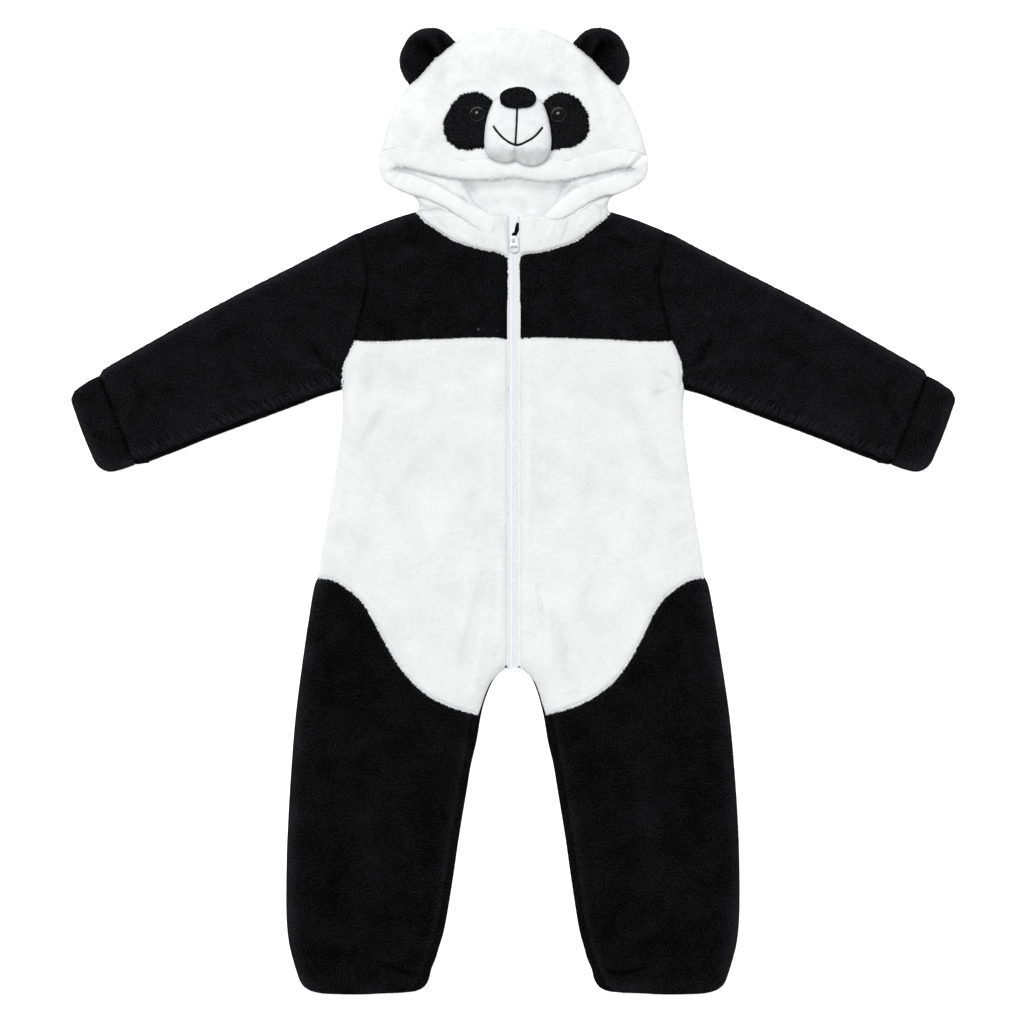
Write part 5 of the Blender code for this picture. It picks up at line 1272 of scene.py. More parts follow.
def back_face(p):
    d = np.full(len(p), 1e9)
    for line in BACK_LINES:
        d = np.minimum(d, away(p, line))
    edge = np.minimum(outline_distance(p), away(p, HOOD_ALL))
    z = 0.35 + np.maximum(fold_height(p, BACK_FOLDS), 0.0) * rise(edge, 12.0) + 1.2 * np.exp(-((d / 1.6) ** 1.4)) + 1.3 * (1 - dome(edge, 3.0))
    return np.clip(z, 0.05, 2.4)


def back_panel(node, curves, material, slot):
    made = Cloth(f"{node}_plush", curves, back_face, lambda p: np.full(len(p), 3.1), material, 4.2, base=-math.pi / 2, pile=0.3, wave=6.5, under=11.0, bulge=0.5, turned=True)
    CLOTHS[node] = made


def mirrored(half):
    """A closed outline from its right-hand half, given from the top middle to the bottom middle."""
    other = [flip(c, -1)[::-1] for c in half[::-1]]
    return [flip(c, 1) for c in half] + other


yoke_half = [[(0.0, 320.6), (60.0, 322.6), (106.6, 328.4)], SHOULDER[:-1] + [(168.5, 305.4)], [(168.5, 305.4)] + ARMHOLE[1:5] + [(174.6, 186.2)], [(174.6, 186.2)] + YOKE_SEAM[1:-1][::-1] + [(8.0, 188.4), (0.0, 188.0)]]
back_panel("back_yoke", mirrored(yoke_half), BLACK, "black_plush")
body_half = [[(0.0, 187.6)] + [(x, y - 0.4) for x, y in YOKE_SEAM[:-1]] + [(174.6, 186.0)], [(174.6, 186.0)] + ARMHOLE[6:-1] + [(187.6, 133.3)], SIDE[:5] + [HIP], BACK_SEAM]
back_panel("back_body", mirrored(body_half), WHITE, "white_plush")
for side in (LEFT, RIGHT):
    word = NAMES[side]
    outer = [HIP] + [p for p in SIDE if p[1] < -74.0 and SIDE.index(p) < 24]
    rest = [(x * (0.97 if y > -190 else 1.0), y + (1.3 if y > -180 else 0.9 if y > -190 else 0.0)) for x, y in SIDE[23:]]
    curves = [BACK_SEAM[::-1], outer, rest, [(0.0, -171.6), (0.0, -157.0)]]
    back_panel(f"leg_back_{word}", [flip(c, side) for c in curves], BLACK, "black_plush")
    low = [(147.6, 379.7), (145.9, 371.5), (141.8, 363.3), (133.5, 357.0), (125.3, 353.0), (115.1, 348.6), (109.0, 346.4), (105.6, 342.0), (103.4, 336.9), (104.4, 330.8)]
    curves = [[(0.0, 321.6), (60.0, 323.4), (104.4, 330.8)], low[::-1] + [HOOD_LINE[side][-1]], HOOD_LINE[side][::-1][:-1] + [(0.0, 531.3)], [(0.0, 531.3), (0.0, 321.6)]]
    back_panel(f"hood_back_{word}", [flip(c, side) for c in curves], WHITE, "white_plush")

# ---------------------------------------------------------------- the hood's face, its lining and the neck
BRIM_SEAM = np.vstack([smooth_line(flip(BRIM_LINE[RIGHT], -1)[::-1], 3.0), smooth_line(BRIM_LINE[LEFT], 3.0)[1:]])
FACE_RING = {}


# the mouth's corners, where the painted shadow on the lining and the band is deepest
POCKETS = np.array([(-124.0, 375.4), (126.0, 375.2)])


def calm(p):
    """Less relief under the face's parts."""
    d = np.hypot((p[:, 0] - 4.4) / 92.0, (p[:, 1] - 424.0) / 42.0)
    return 1 - 0.85 * np.clip((1.25 - d) / 0.4, 0, 1)


def tucked(p, side):
    """How far one half dives under the other past the middle."""
    return 0.075 * np.clip(-side * p[:, 0], 0, 4) ** 2


def hood_face_height(p):
    d = away(p, HOOD_ALL)
    swell = 0.55 * soft(p[:, 0], p[:, 1], 40.0, 31) + 0.35 * soft(p[:, 0], p[:, 1], 18.0, 32)
    z = 7.4 + 3.8 * dome(d, 8.0) + 6.8 * rise(d, 46.0) + (swell + fold_height(p, HOOD_FOLDS)) * rise(d, 20.0) * calm(p)
    middle = np.abs(p[:, 0] - 0.4)
    z -= 1.5 * np.exp(-((middle / 2.2) ** 2)) * np.clip((p[:, 1] - 508.0) / 20.0, 0, 1)
    z += 4.6 * np.exp(-((np.hypot(np.abs(p[:, 0]) - 141.0, p[:, 1] - 391.0) / 17.0) ** 2))
    return z - 0.12 * np.exp(-((away(p, BRIM_SEAM) / 2.2) ** 1.4))


for side in (LEFT, RIGHT):
    word = NAMES[side]
    hood = [(-2.4, 531.2)] + HOOD_LINE[side][1:]
    curves = [hood, BRIM_LINE[side][:0:-1] + [(-2.4, 383.7)], [(-2.4, 383.7), (-2.4, 531.2)]]
    # the face's tone is painted light: shade in its folds, along its outline and just above the brim's seam, light on
    # the folds' ridges
    face = Cloth(
        f"hood_face_{word}_plush", [flip(c, side) for c in curves], lambda p, side=side: hood_face_height(p) - tucked(p, side),
        lambda p, side=side: np.maximum(hood_face_height(p) - 6.6 - tucked(p, side), 3.4), HOOD_WHITE_LIT, 1.7, base=-math.pi / 2, pile=0.26, wave=4.4, under=7.0, tone=lambda q: 0.11 * np.clip(fold_height(q[:, :2], HOOD_FOLDS), -2.5, 1.2) * np.clip(calm(q[:, :2]) + 0.35, 0, 1) - 0.2 * np.exp(-((away(q[:, :2], HOOD_ALL) / 3.0) ** 2)) - 0.05 * np.exp(-((away(q[:, :2], BRIM_SEAM + np.array([0.0, 3.4])) / 2.0) ** 2)), flush=lambda r, side=side: r[:, 0] * side < -2.3,
    )
    CLOTHS[f"hood_face_{word}"] = face

    fold_a = smooth_line(flip({RIGHT: [(112.9, 369.6), (87.3, 361.1), (61.8, 346.3), (42.7, 335.6), (29.9, 329.2)], LEFT: [(108.4, 370.7), (82.8, 362.1), (65.8, 354.8), (53.0, 344.1), (42.4, 334.5), (36.0, 324.0)]}[side], side), 3.0)
    low_line = smooth_line(flip([(r[2], r[3]) for r in BRIM[side][:10]], side), 3.0)

    def lining_edge(y, side=side):
        return np.interp(y, [314.0, 318.0, 324.9, 331.0, 338.5, 352.6, 364.3, 372.0], [30.0, 30.0, 27.0, 34.0, 43.5, 51.2, 58.6, 63.5] if side == RIGHT else [34.0, 35.0, 36.0, 41.0, 46.0, 53.5, 63.6, 69.0])

    def lining_height(p, side=side, low_line=low_line, fold_a=fold_a, lining_edge=lining_edge):
        x, y = np.abs(p[:, 0]), p[:, 1]
        edge_x = lining_edge(y)
        past = x - edge_x + 1.6 * soft(p[:, 0], p[:, 1], 11.0, 53)
        step = 1 / (1 + np.exp(-past / 0.9))
        side_fold = (4.4 if side == LEFT else 3.7) + 1.6 * rise(past, 26.0) + 0.8 * np.exp(-(((past - 4.0) / 3.4) ** 2))
        z = 4.9 + step * side_fold + 6.0 * np.exp(-((away(p, low_line) / 8.0) ** 2)) * (1 - step)
        z += 0.45 * soft(p[:, 0], p[:, 1], 15.0, 51) + 0.3 * soft(p[:, 0], p[:, 1], 7.5, 52) + 0.5 * np.exp(-(((p[:, 0] - 5.0) / 5.0) ** 2))
        z -= 0.9 * np.exp(-((away(p, fold_a) / 1.8) ** 2))
        under = np.exp(-((away(p, low_line) / 4.5) ** 2)) * rise(x - 30.0, 50.0)
        return z - (z - 4.6) * 0.12 * under - tucked(p, side)

    # painted light: shade on the hood's inner back and its fold lines, under the brim and deep in the mouth's corners,
    # a little light past the fold's edge; plus a random mottle
    def lining_painted_light_and_mottle(q, side=side, low_line=low_line, lining_edge=lining_edge, fold_a=fold_a):
        p = q[:, :2]
        past = np.abs(p[:, 0]) - lining_edge(p[:, 1])
        inner = np.where(past < 1.0, np.exp(np.minimum(past, 0.0) / 8.0), 0.0)
        t = 0.02 - 0.36 * inner * (1.25 if side == LEFT else 1.0) - 0.06 * np.exp(-((away(p, low_line) / 5.0) ** 2)) + 0.1 * np.exp(-(((past - 4.5) / 3.5) ** 2))
        t -= 0.6 * np.exp(-((np.hypot(np.abs(p[:, 0]) - (54.0 if side == RIGHT else 57.6), (p[:, 1] - 361.0) * 0.9) / 7.5) ** 2))
        t -= 0.34 * np.exp(-((away(p, fold_a) / 2.6) ** 2)) * (np.abs(p[:, 0]) > lining_edge(p[:, 1]))
        t -= 0.9 * np.exp(-((np.min([np.hypot(p[:, 0] - x, (p[:, 1] - y) * 1.3) for x, y in POCKETS], axis=0) / 12.0) ** 2))
        return t + 0.2 * soft(p[:, 0], p[:, 1], 11.0, 113)

    lin = [(-2.4, 318.0), (40.0, 314.0), (60.0, 322.0), (76.0, 330.0), (96.0, 344.0), (118.0, 356.0), (134.0, 364.0), (138.0, 374.0), (134.0, 386.0), (124.0, 398.0), (112.0, 414.0), (100.0, 444.0), (80.0, 472.0), (50.0, 495.0), (22.0, 506.0), (-2.4, 508.5)]
    curves = [lin, [(-2.4, 508.5), (-2.4, 318.0)]]
    lining = Cloth(
        f"hood_lining_{word}_plush", [flip(c, side) for c in curves], lining_height, lambda p: np.full(len(p), 3.3), WHITE, 1.6, base=-math.pi / 2,
        pile=0.22, wave=4.4, under=9.0, region=lambda q: q[:, 1] < 380.0, coarse=6.0, flush=lambda r, side=side: r[:, 0] * side < -2.3, tone=lining_painted_light_and_mottle,
    )
    CLOTHS[f"hood_lining_{word}"] = lining

    edge = ZIP_EDGE[side]
    seam = NECK_SEAM[side][:-1] + [(edge, NECK_SEAM[side][-1][1])]
    if side == RIGHT:
        top = [(edge, 325.2), (10.6, 323.8), (14.5, 324.5), (20.0, 325.0), (25.5, 325.8), (29.0, 318.0), (33.0, 311.5), (43.0, 316.0), (54.0, 323.0), (66.0, 331.0), (80.0, 340.0), (96.0, 346.0), (105.6, 344.5)]
    else:
        top = [(edge, 324.0), (11.9, 323.5), (18.5, 325.5), (25.1, 324.8), (34.0, 323.6), (40.0, 324.0), (52.0, 324.6), (62.0, 328.0), (74.0, 335.4), (87.0, 342.6), (100.0, 347.0), (105.8, 344.5)]
    corner = [top[-1], (104.0, 339.5), (103.0, 335.0), (104.4, 331.2), seam[0]]
    top_line = smooth_line(flip(top[:6], side), 2.0)
    seam_line = SEAMS[side]["neck"]
    creases = {
        RIGHT: [([(-101.3, 336.6), (-97.0, 333.4), (-93.7, 333.6)], 2.4, -1.6), ([(-24.8, 325.4), (-23.0, 314.0), (-21.1, 303.4)], 1.7, -1.8), ([(-11.6, 323.2), (-7.9, 313.3), (-6.6, 304.7)], 1.5, -1.3), ([(-60.0, 304.0), (-46.0, 296.0)], 4.0, 0.8), ([(-84.0, 320.0), (-72.0, 308.0)], 4.0, -0.7), ([(-36.0, 300.0), (-30.0, 290.0)], 3.4, -0.8)],
        LEFT: [([(90.0, 335.6), (97.0, 332.0), (97.7, 323.0)], 2.6, -1.8), ([(61.4, 320.7), (57.3, 307.9), (53.0, 297.3)], 2.4, -1.5), ([(44.0, 316.0), (38.0, 300.0)], 4.0, 0.9), ([(26.0, 322.0), (22.0, 304.0)], 2.6, -0.8), ([(78.0, 322.0), (70.0, 308.0)], 4.0, 0.8)],
    }[side]

    def neck_height(p, side=side, top_line=top_line, seam_line=seam_line, creases=creases):
        d = away(p, seam_line)
        x = np.abs(p[:, 0])
        z = np.minimum(front_height(p), 10.2) + 1.0 * rise(d, 16.0) * rise(106 - x, 34.0)
        z = z * rise(away(p, HOOD_NECK) + 2.5, 9.0) + 4.0 * (1 - rise(away(p, HOOD_NECK) + 2.5, 9.0))
        z += fold_height(p, creases)
        z -= 2.6 * np.exp(-((away(p, top_line) / 1.7) ** 1.5)) + seam_drop(d, 2.4)
        z -= 1.6 * np.exp(-(((x - ZIP_EDGE[side]) / 1.8) ** 2))
        return np.clip(z, 4.4, 12.2)

    HOOD_NECK = np.vstack([smooth_line(flip([(106.6, 328.4), (104.4, 331.2), (103.0, 335.0), (104.0, 339.5), (105.8, 344.5)], s), 2.0) for s in (1, -1)])
    curves = [seam, [seam[-1], top[0]], top[:5], top[4:], corner]
    # the neck's tone is painted shade in its creases and along its seams, with a little light on the creases' ridges
    neck = Cloth(f"neck_{word}_plush", [flip(c, side) for c in curves], neck_height, lambda p, h=neck_height: np.maximum(h(p) - 3.0, 3.4), WHITE, 1.5, base=-math.pi / 2, pile=0.26, wave=4.4, under=5.0, tone=lambda q, c=creases, s=seam_line: 0.16 * np.clip(fold_height(q[:, :2], c), -2.5, 1.0) - 0.2 * np.exp(-((away(q[:, :2], s) / 3.0) ** 2)) - 0.2 * np.exp(-((away(q[:, :2], HOOD_NECK) / 3.0) ** 2)))
    CLOTHS[f"neck_{word}"] = neck

# ---------------------------------------------------------------- the band round the hood's mouth
BANDS = {}


def brim_painted_shade_and_mottle(q, n):
    """Painted shade deep in the mouth's corners and where the rolled edge faces down, the rest a little lighter, with a
    random mottle.
    """
    t = -0.75 * np.exp(-((np.min([np.hypot(q[:, 0] - x, (q[:, 1] - y) * 2.2) for x, y in POCKETS], axis=0) / 12.0) ** 2))
    return t + 0.14 - 0.2 * np.clip(-n[:, 2], 0, 1) + 0.14 * soft(q[:, 0], q[:, 1], 16.0, 111)


for side in (LEFT, RIGHT):
    word = NAMES[side]
    table = []
    for k, (ox, oy, ix, iy, low, high) in enumerate(BRIM[side]):
        box = float(np.clip((154.0 - ox) / 9.0, 0, 1)) if k < 10 and oy > 382.0 else 0.0
        if box:
            high = high * (1 - box) + box * (float(hood_face_height(np.array([[side * ox, oy + 2.0]]))[0]) + 0.42)
            oy += 2.4 * box
        if k == 0:
            table.append((-2.6, oy - 0.5, -2.6, iy + 0.5, low + 0.5, high - 0.55, box))
        table.append((ox, oy, ix, iy, low, high, box))
    corner_at = 152.4
    BANDS[f"brim_{word}"] = Band(
        f"brim_{word}_plush", table, side, HOOD_WHITE_LIT, 1.5, 48, pile=0.3, wave=4.4, square=0.85, seed=5, slope=2.0, inner_square=0.56, shade=brim_painted_shade_and_mottle,
        creases=[(corner_at - 22, 2.6, -0.5), (corner_at - 13, 2.2, -0.55), (corner_at - 4, 2.2, -0.6), (corner_at + 5, 2.2, -0.8), (corner_at + 15, 2.4, -0.9), (corner_at + 27, 2.8, -0.7), (60.0, 7.0, -0.5), (96.0, 8.0, 0.5), (205.0, 6.0, -0.7), (236.0, 7.0, -0.6)],
        base=-math.pi / 2,
    )

# ---------------------------------------------------------------- rolled edges: under the arms and inside the legs
ROLLS = {}
for side in (LEFT, RIGHT):
    word = NAMES[side]
    outer = smooth_line([(184.4, 134.4)] + SLEEVE_LOW[1:-1], 4.0)
    inner = smooth_line([(186.4, 138.8)] + UNDERARM[2:], 4.0)
    count = 56
    pick = lambda line: np.array([line[int(round(k * (len(line) - 1) / (count - 1)))] for k in range(count)])
    o, i = pick(outer), pick(inner)
    ends = np.minimum(np.arange(count), np.arange(count)[::-1]) / 3.0
    cols = [(*a, *(b + (b - a) * 0.12), 0.3, 3.0 + 4.0 * min(1.0, e + 0.5)) for a, b, e in zip(o, i, ends)]
    # the roll under the arm is darkened a little: painted shade
    ROLLS[f"sleeve_{word}"] = Band(f"underarm_{word}", cols, side, BLACK, 2.0, 18, pile=0.35, wave=4.4, square=0.9, seed=5, base=1.2, shade=lambda q, n: np.full(len(q), -0.05))
    outer = smooth_line([p for p in SIDE if p[1] < -220 and p[0] < 125][::-1], 4.0)
    inner = smooth_line([CROTCH_END] + INNER_SEAM + [(107.0, -522.5), (113.0, -527.0)], 4.0)
    count = 84
    o, i = pick(outer), pick(inner)
    if side > 0:
        o[:, 0] += narrow(o[:, 0], o[:, 1])
        i[:, 0] += narrow(i[:, 0], i[:, 1])
    ends = np.minimum(np.arange(count), np.arange(count)[::-1]) / 4.0
    cols = [(*a, *(b + (b - a) * 0.1), 0.3, 3.0 + 3.9 * min(1.0, e + 0.2)) for a, b, e in zip(o, i, ends)]
    ROLLS[f"leg_back_{word}"] = Band(f"inner_leg_{word}", cols, side, BLACK, 2.0, 18, pile=0.35, wave=4.4, square=0.9, seed=6, base=1.2)

# ---------------------------------------------------------------- ears
EAR_DENTS = [
    # x, y from; x, y to; half width; height, on the wearer's right ear
    ((-95.4, 513.5), (-86.5, 499.2), 4.2, -4.6), ((-103.0, 512.0), (-92.0, 503.0), 8.5, -2.2), ((-88.0, 517.0), (-81.0, 501.0), 3.8, 2.2),
    ((-79.0, 520.0), (-73.0, 508.0), 4.2, -2.4), ((-112.0, 500.0), (-108.0, 488.0), 7.0, 0.8), ((-100.0, 524.0), (-86.0, 526.0), 5.0, 0.9), ((-104.0, 482.0), (-98.0, 476.0), 5.0, -0.8),
]
EARS = {}


def ear_ring(side):
    shift = 2.9 if side == LEFT else 0.0
    pts = [(side * (x + shift), y) for x, y in EAR]
    return pts[-1:] + pts


EAR_TOP = {}
for side in (LEFT, RIGHT):
    shift = 2.9 if side == LEFT else 0.0
    EAR_TOP[side] = smooth_line([(side * (x + shift), y) for x, y in EAR[:19]], 1.5)


def ear_height(low, thick, side, dents, soft_edge):
    hood = smooth_line(flip(HOOD_LINE[side], side), 2.0)

    def height(p):
        d = away(p, EAR_TOP[side])
        sewn = away(p, hood)
        z = low + thick * (0.62 * dome(d, soft_edge) + 0.38 * rise(d, 22.0)) * (0.35 + 0.65 * rise(sewn, 9.0))
        if dents:
            q = p * np.array([-side, 1.0]) + np.array([2.9 if side == LEFT else 0.0, 0.0])
            for a, b, half, high in EAR_DENTS:
                line = smooth_line([a, b], 2.0)
                z += high * np.exp(-((away(q, line) / (0.62 * half)) ** 2)) * rise(d, 7.0)
        z += 0.35 * soft(p[:, 0], p[:, 1], 11.0, 61) * rise(d, 6.0)
        inside = within(p, HOOD_RING)
        return np.where(inside, np.minimum(z, 6.4), z)

    return height


# painted light: a highlight along the ear's rolled edge, shade in its dents and light on its bumps
def ear_painted_light(side):
    def tone(q):
        p = q[:, :2]
        d = away(p, EAR_TOP[side])
        t = 0.05 + 0.4 * np.exp(-((d / 6.0) ** 1.6)) * (1 + 0.4 * soft(p[:, 0], p[:, 1], 12.0, 99))
        own_side = p * np.array([-side, 1.0]) + np.array([2.9 if side == LEFT else 0.0, 0.0])
        for a, b, half, high in EAR_DENTS:
            t += 0.085 * high * np.exp(-((away(own_side, smooth_line([a, b], 2.0)) / (0.8 * half)) ** 2))
        return t

    return tone


HOOD_RING = np.vstack([HOOD_ALL, [(147.0, 380.0), (0.0, 340.0), (-147.0, 380.0)]])
for side in (LEFT, RIGHT):
    word = NAMES[side]
    curves = [ear_ring(side)]
    top = ear_height(7.0, 6.4, side, True, 6.0)
    EARS[f"ear_front_{word}"] = Cloth(f"ear_front_{word}_plush", curves, top, lambda p: np.full(len(p), 4.6), BLACK, 1.5, base=-math.pi / 2 - side * 0.7, pile=0.36, wave=4.6, under=4.0, bulge=0.1, tone=ear_painted_light(side))
    ring = EAR_TOP[side]
    low = lambda p, ring=ring: 0.1 + 2.2 * (1 - dome(away(p, ring), 7.0)) + 0.5 * np.abs(soft(p[:, 0], p[:, 1], 13.0, 64))
    EARS[f"ear_back_{word}"] = Cloth(f"ear_back_{word}_plush", curves, low, lambda p: np.full(len(p), 4.5), BLACK, 2.6, base=-math.pi / 2, pile=0.3, wave=5.0, under=4.0, bulge=0.1, turned=True)

# ---------------------------------------------------------------- face
PATCHES = {}
for side in (LEFT, RIGHT):
    word = NAMES[side]
    ring = smooth_line(flip(PATCH[side], side) + [flip(PATCH[side], side)[0]], 1.5)

    def patch_height(p, ring=ring):
        d = away(p, ring)
        return 18.9 + 1.1 * dome(d, 2.2) + 0.6 * rise(d, 9.0) + 0.16 * soft(p[:, 0], p[:, 1], 6.0, 71)

    curves = [flip(PATCH[side], side) + [flip(PATCH[side], side)[0]]]
    PATCHES[f"eye_patch_{word}"] = Cloth(f"eye_patch_{word}_pile", curves, patch_height, lambda p: np.full(len(p), 17.0), SHORT_BLACK, 1.1, pile=0.16, wave=2.6, under=4.0, bulge=0.2)

# muzzle: a domed pad with a seam down its middle
MUZZLE_PROFILE = [(0.99, 18.3), (1.0, 20.8), (1.0, 24.6), (0.998, 28.6), (0.99, 32.0), (0.965, 35.2), (0.915, 38.0), (0.835, 40.4), (0.7, 42.4), (0.5, 43.7), (0.26, 44.3), (0.0, 44.6)]
ring = smooth_line(MUZZLE + [MUZZLE[0]], 1.3)[:-1]
profile = smooth_line([(s * 42.0, z) for s, z in MUZZLE_PROFILE], 1.1)
share, level = profile[:, 0] / 42.0, profile[:, 1]
centre = np.array(MUZZLE_CENTRE)
count = len(ring)


def muzzle_shift(s):
    return np.array([0.0, 4.0]) * (1 - s) ** 1.2 if np.isscalar(s) else np.column_stack([0 * s, 4.0 * (1 - np.clip(s, 0, 1)) ** 1.2])


rings = np.stack([np.column_stack([centre + muzzle_shift(max(0.0, min(1.0, s))) + (ring - centre) * max(s, 0.012), np.full(count, z)]) for s, z in zip(share, level)])
spots = rings.reshape(-1, 3)
MUZZLE_SEAM = smooth_line([(3.2, 403.0), (2.4, 396.0), (2.0, 388.0), (2.0, 380.0)], 1.5)
MUZZLE_MOUTH = smooth_line(MOUTH, 1.5)
MUZZLE_DOWN = smooth_line(MOUTH_DOWN, 1.5)


def muzzle_relief(p):
    seam = away(p[:, :2], MUZZLE_SEAM)
    mouth = np.minimum(away(p[:, :2], MUZZLE_MOUTH), away(p[:, :2], MUZZLE_DOWN))
    wide = 1.5 + 2.2 * np.clip((398.0 - p[:, 1]) / 18.0, 0, 1)
    r = -2.2 * np.exp(-((seam / wide) ** 1.4)) - 1.1 * np.exp(-((mouth / 2.6) ** 2))
    r += 0.9 * np.exp(-((np.hypot(p[:, 0] + 12.0, p[:, 1] - 399.0) / 13.0) ** 2)) + 0.9 * np.exp(-((np.hypot(p[:, 0] - 21.0, p[:, 1] - 396.0) / 14.0) ** 2))
    return r + 0.35 * soft(p[:, 0], p[:, 1], 9.0, 81)


def muzzle_z(x, y):
    """Height of the muzzle's face over a point in plan."""
    angle_ring = np.arctan2(ring[:, 1] - centre[1], ring[:, 0] - centre[0])
    order = np.argsort(angle_ring)
    radius = np.linalg.norm(ring - centre, axis=1)
    p = np.column_stack([np.atleast_1d(x), np.atleast_1d(y)]).astype(float)
    s = np.full(len(p), 0.5)
    for _ in range(6):
        q = p - centre - muzzle_shift(s)
        a = np.arctan2(q[:, 1], q[:, 0])
        out = np.interp(a, angle_ring[order], radius[order], period=2 * math.pi)
        s = np.clip(np.linalg.norm(q, axis=1) / out, 0, 1.0)
    top = level[np.argmax(share) :]
    return np.interp(-s, -share[np.argmax(share) :], top) + muzzle_relief(p)


verts = spots.copy()
rows = len(share)
idx = np.arange(rows * count).reshape(rows, count)
quads = np.stack([idx[:-1], np.roll(idx, -1, 1)[:-1], np.roll(idx, -1, 1)[1:], idx[1:]], -1).reshape(-1, 4)
b = verts[quads]
vn = np.zeros_like(verts)
normal = np.cross(b[:, 2] - b[:, 0], b[:, 3] - b[:, 1])
if (normal[:, :2] * (b.mean(1)[:, :2] - centre)).sum() < 0:
    quads, normal = quads[:, ::-1], -normal
for k in range(4):
    np.add.at(vn, quads[:, k], normal)
vn /= np.maximum(np.linalg.norm(vn, axis=1), 1e-9)[:, None]
grain = 0.16 * strands(verts[:, 0] + 0.7 * verts[:, 2], verts[:, 1] - 0.7 * verts[:, 2], nap_angle(verts[:, 0], verts[:, 1], -1.5, 83), 2.6, 85)
lift = muzzle_relief(verts) * np.clip((verts[:, 2] - 24.0) / 10.0, 0, 1) + grain * np.clip((verts[:, 2] - 19.0) / 3.0, 0, 1)
verts = verts + vn * lift[:, None]
down = np.clip((401.0 - verts[:, 1]) / 22.0, 0, 1)
verts[:, 2] -= np.clip(verts[:, 2] - 18.6, 0, None) * 0.5 * down * down * (3 - 2 * down)
faces = quads.tolist() + [idx[0].tolist(), idx[-1].tolist()]
# painted shade: the lower lobes darker, with a mottle, and a dark line along the seam down the middle; plus random
# blotches
lobe = np.clip((405.0 - verts[:, 1]) / 12.0, 0, 1)
muzzle_painted_shade_and_mottle = 0.08 - 0.1 * lobe * (1 + 2.2 * soft(verts[:, 0], verts[:, 1], 5.5, 101)) - 0.25 * np.exp(-((away(verts[:, :2], MUZZLE_SEAM) / 2.6) ** 2)) - 0.07 * np.clip(soft(verts[:, 0], verts[:, 1], 9.0, 103), 0, 1)
muzzle = new_mesh("muzzle_pad", verts, faces, SHORT_WHITE, tone=muzzle_painted_shade_and_mottle)
mesh_clean = muzzle.data
import bmesh

work = bmesh.new()
work.from_mesh(mesh_clean)
bmesh.ops.recalc_face_normals(work, faces=work.faces)
work.to_mesh(mesh_clean)
work.free()


def tube_on(name, line, half, high, material, z_of, sink=0.35, step=0.5, cap=True):
    """A flat rounded cord sewn on a surface."""
    pts = smooth_line(line, step)
    n = len(pts)
    along = np.gradient(pts, axis=0)
    along /= np.linalg.norm(along, axis=1)[:, None]
    side_of = np.column_stack([-along[:, 1], along[:, 0]])
    run = np.arange(n) * step
    end = np.minimum(run, run[-1] - run)
    grow = np.sqrt(np.clip(end / half, 0.03, 1))
    around = 12
    a = 2 * np.pi * np.arange(around) / around
    ridge = 1 + 0.06 * np.sin(run * 2 * np.pi / 1.1)
    plan = pts[:, None] + side_of[:, None] * (np.cos(a)[None, :, None] * half * (grow * ridge)[:, None, None])
    base_z = z_of(plan[..., 0].ravel(), plan[..., 1].ravel()).reshape(n, around)
    z = base_z + np.where(np.sin(a) > 0, 1.0, 0.6)[None] * np.sin(a)[None] * high * (grow * ridge)[:, None] + high * 0.2 - sink
    v = np.concatenate([plan, z[..., None]], 2).reshape(-1, 3)
    idx = np.arange(n * around).reshape(n, around)
    q = np.stack([idx[:-1], np.roll(idx, -1, 1)[:-1], np.roll(idx, -1, 1)[1:], idx[1:]], -1).reshape(-1, 4).tolist()
    made = new_mesh(name, v, q + [idx[0].tolist(), idx[-1].tolist()], material)
    work = bmesh.new()
    work.from_mesh(made.data)
    bmesh.ops.recalc_face_normals(work, faces=work.faces)
    work.to_mesh(made.data)
    work.free()
    return made


mouth = tube_on("mouth_stitching", MOUTH, 1.4, 0.75, THREAD, muzzle_z, 0.3)
mouth_down = tube_on("mouth_stitching_down", MOUTH_DOWN, 1.3, 0.75, THREAD, muzzle_z, 0.3)
fuse(mouth, mouth_down)


def turned_body(name, profile, at, material, steps=56):
    """A body of revolution about a vertical axis."""
    fine = smooth_line(profile, 0.3)
    a = 2 * np.pi * np.arange(steps) / steps
    v = [(at[0], at[1], at[2] + fine[0][1])]
    for r, z in fine[1:-1]:
        v += [(at[0] + r * math.cos(t), at[1] + r * math.sin(t), at[2] + z) for t in a]
    v.append((at[0], at[1], at[2] + fine[-1][1]))
    rows = len(fine) - 2
    f = [(0, 1 + (k + 1) % steps, 1 + k) for k in range(steps)]
    for r in range(rows - 1):
        f += [(1 + r * steps + k, 1 + r * steps + (k + 1) % steps, 1 + (r + 1) * steps + (k + 1) % steps, 1 + (r + 1) * steps + k) for k in range(steps)]
    last = 1 + (rows - 1) * steps
    f += [(last + k, last + (k + 1) % steps, len(v) - 1) for k in range(steps)]
    return new_mesh(name, v, f, material)


EYE_PROFILE = [(0.0, -0.3), (7.0, -0.3), (8.1, 0.1), (8.3, 0.6), (8.0, 1.1), (7.3, 1.35), (6.75, 1.3), (6.5, 1.5), (6.35, 2.2), (5.9, 3.3), (4.9, 4.5), (3.2, 5.4), (1.6, 5.75), (0.0, 5.85)]
RIM_PROFILE = [(7.5, 0.8), (7.54, 1.3), (7.95, 1.36), (8.3, 1.3), (8.36, 0.8), (8.24, 0.3), (7.95, 0.05), (7.66, 0.3), (7.5, 0.8)]


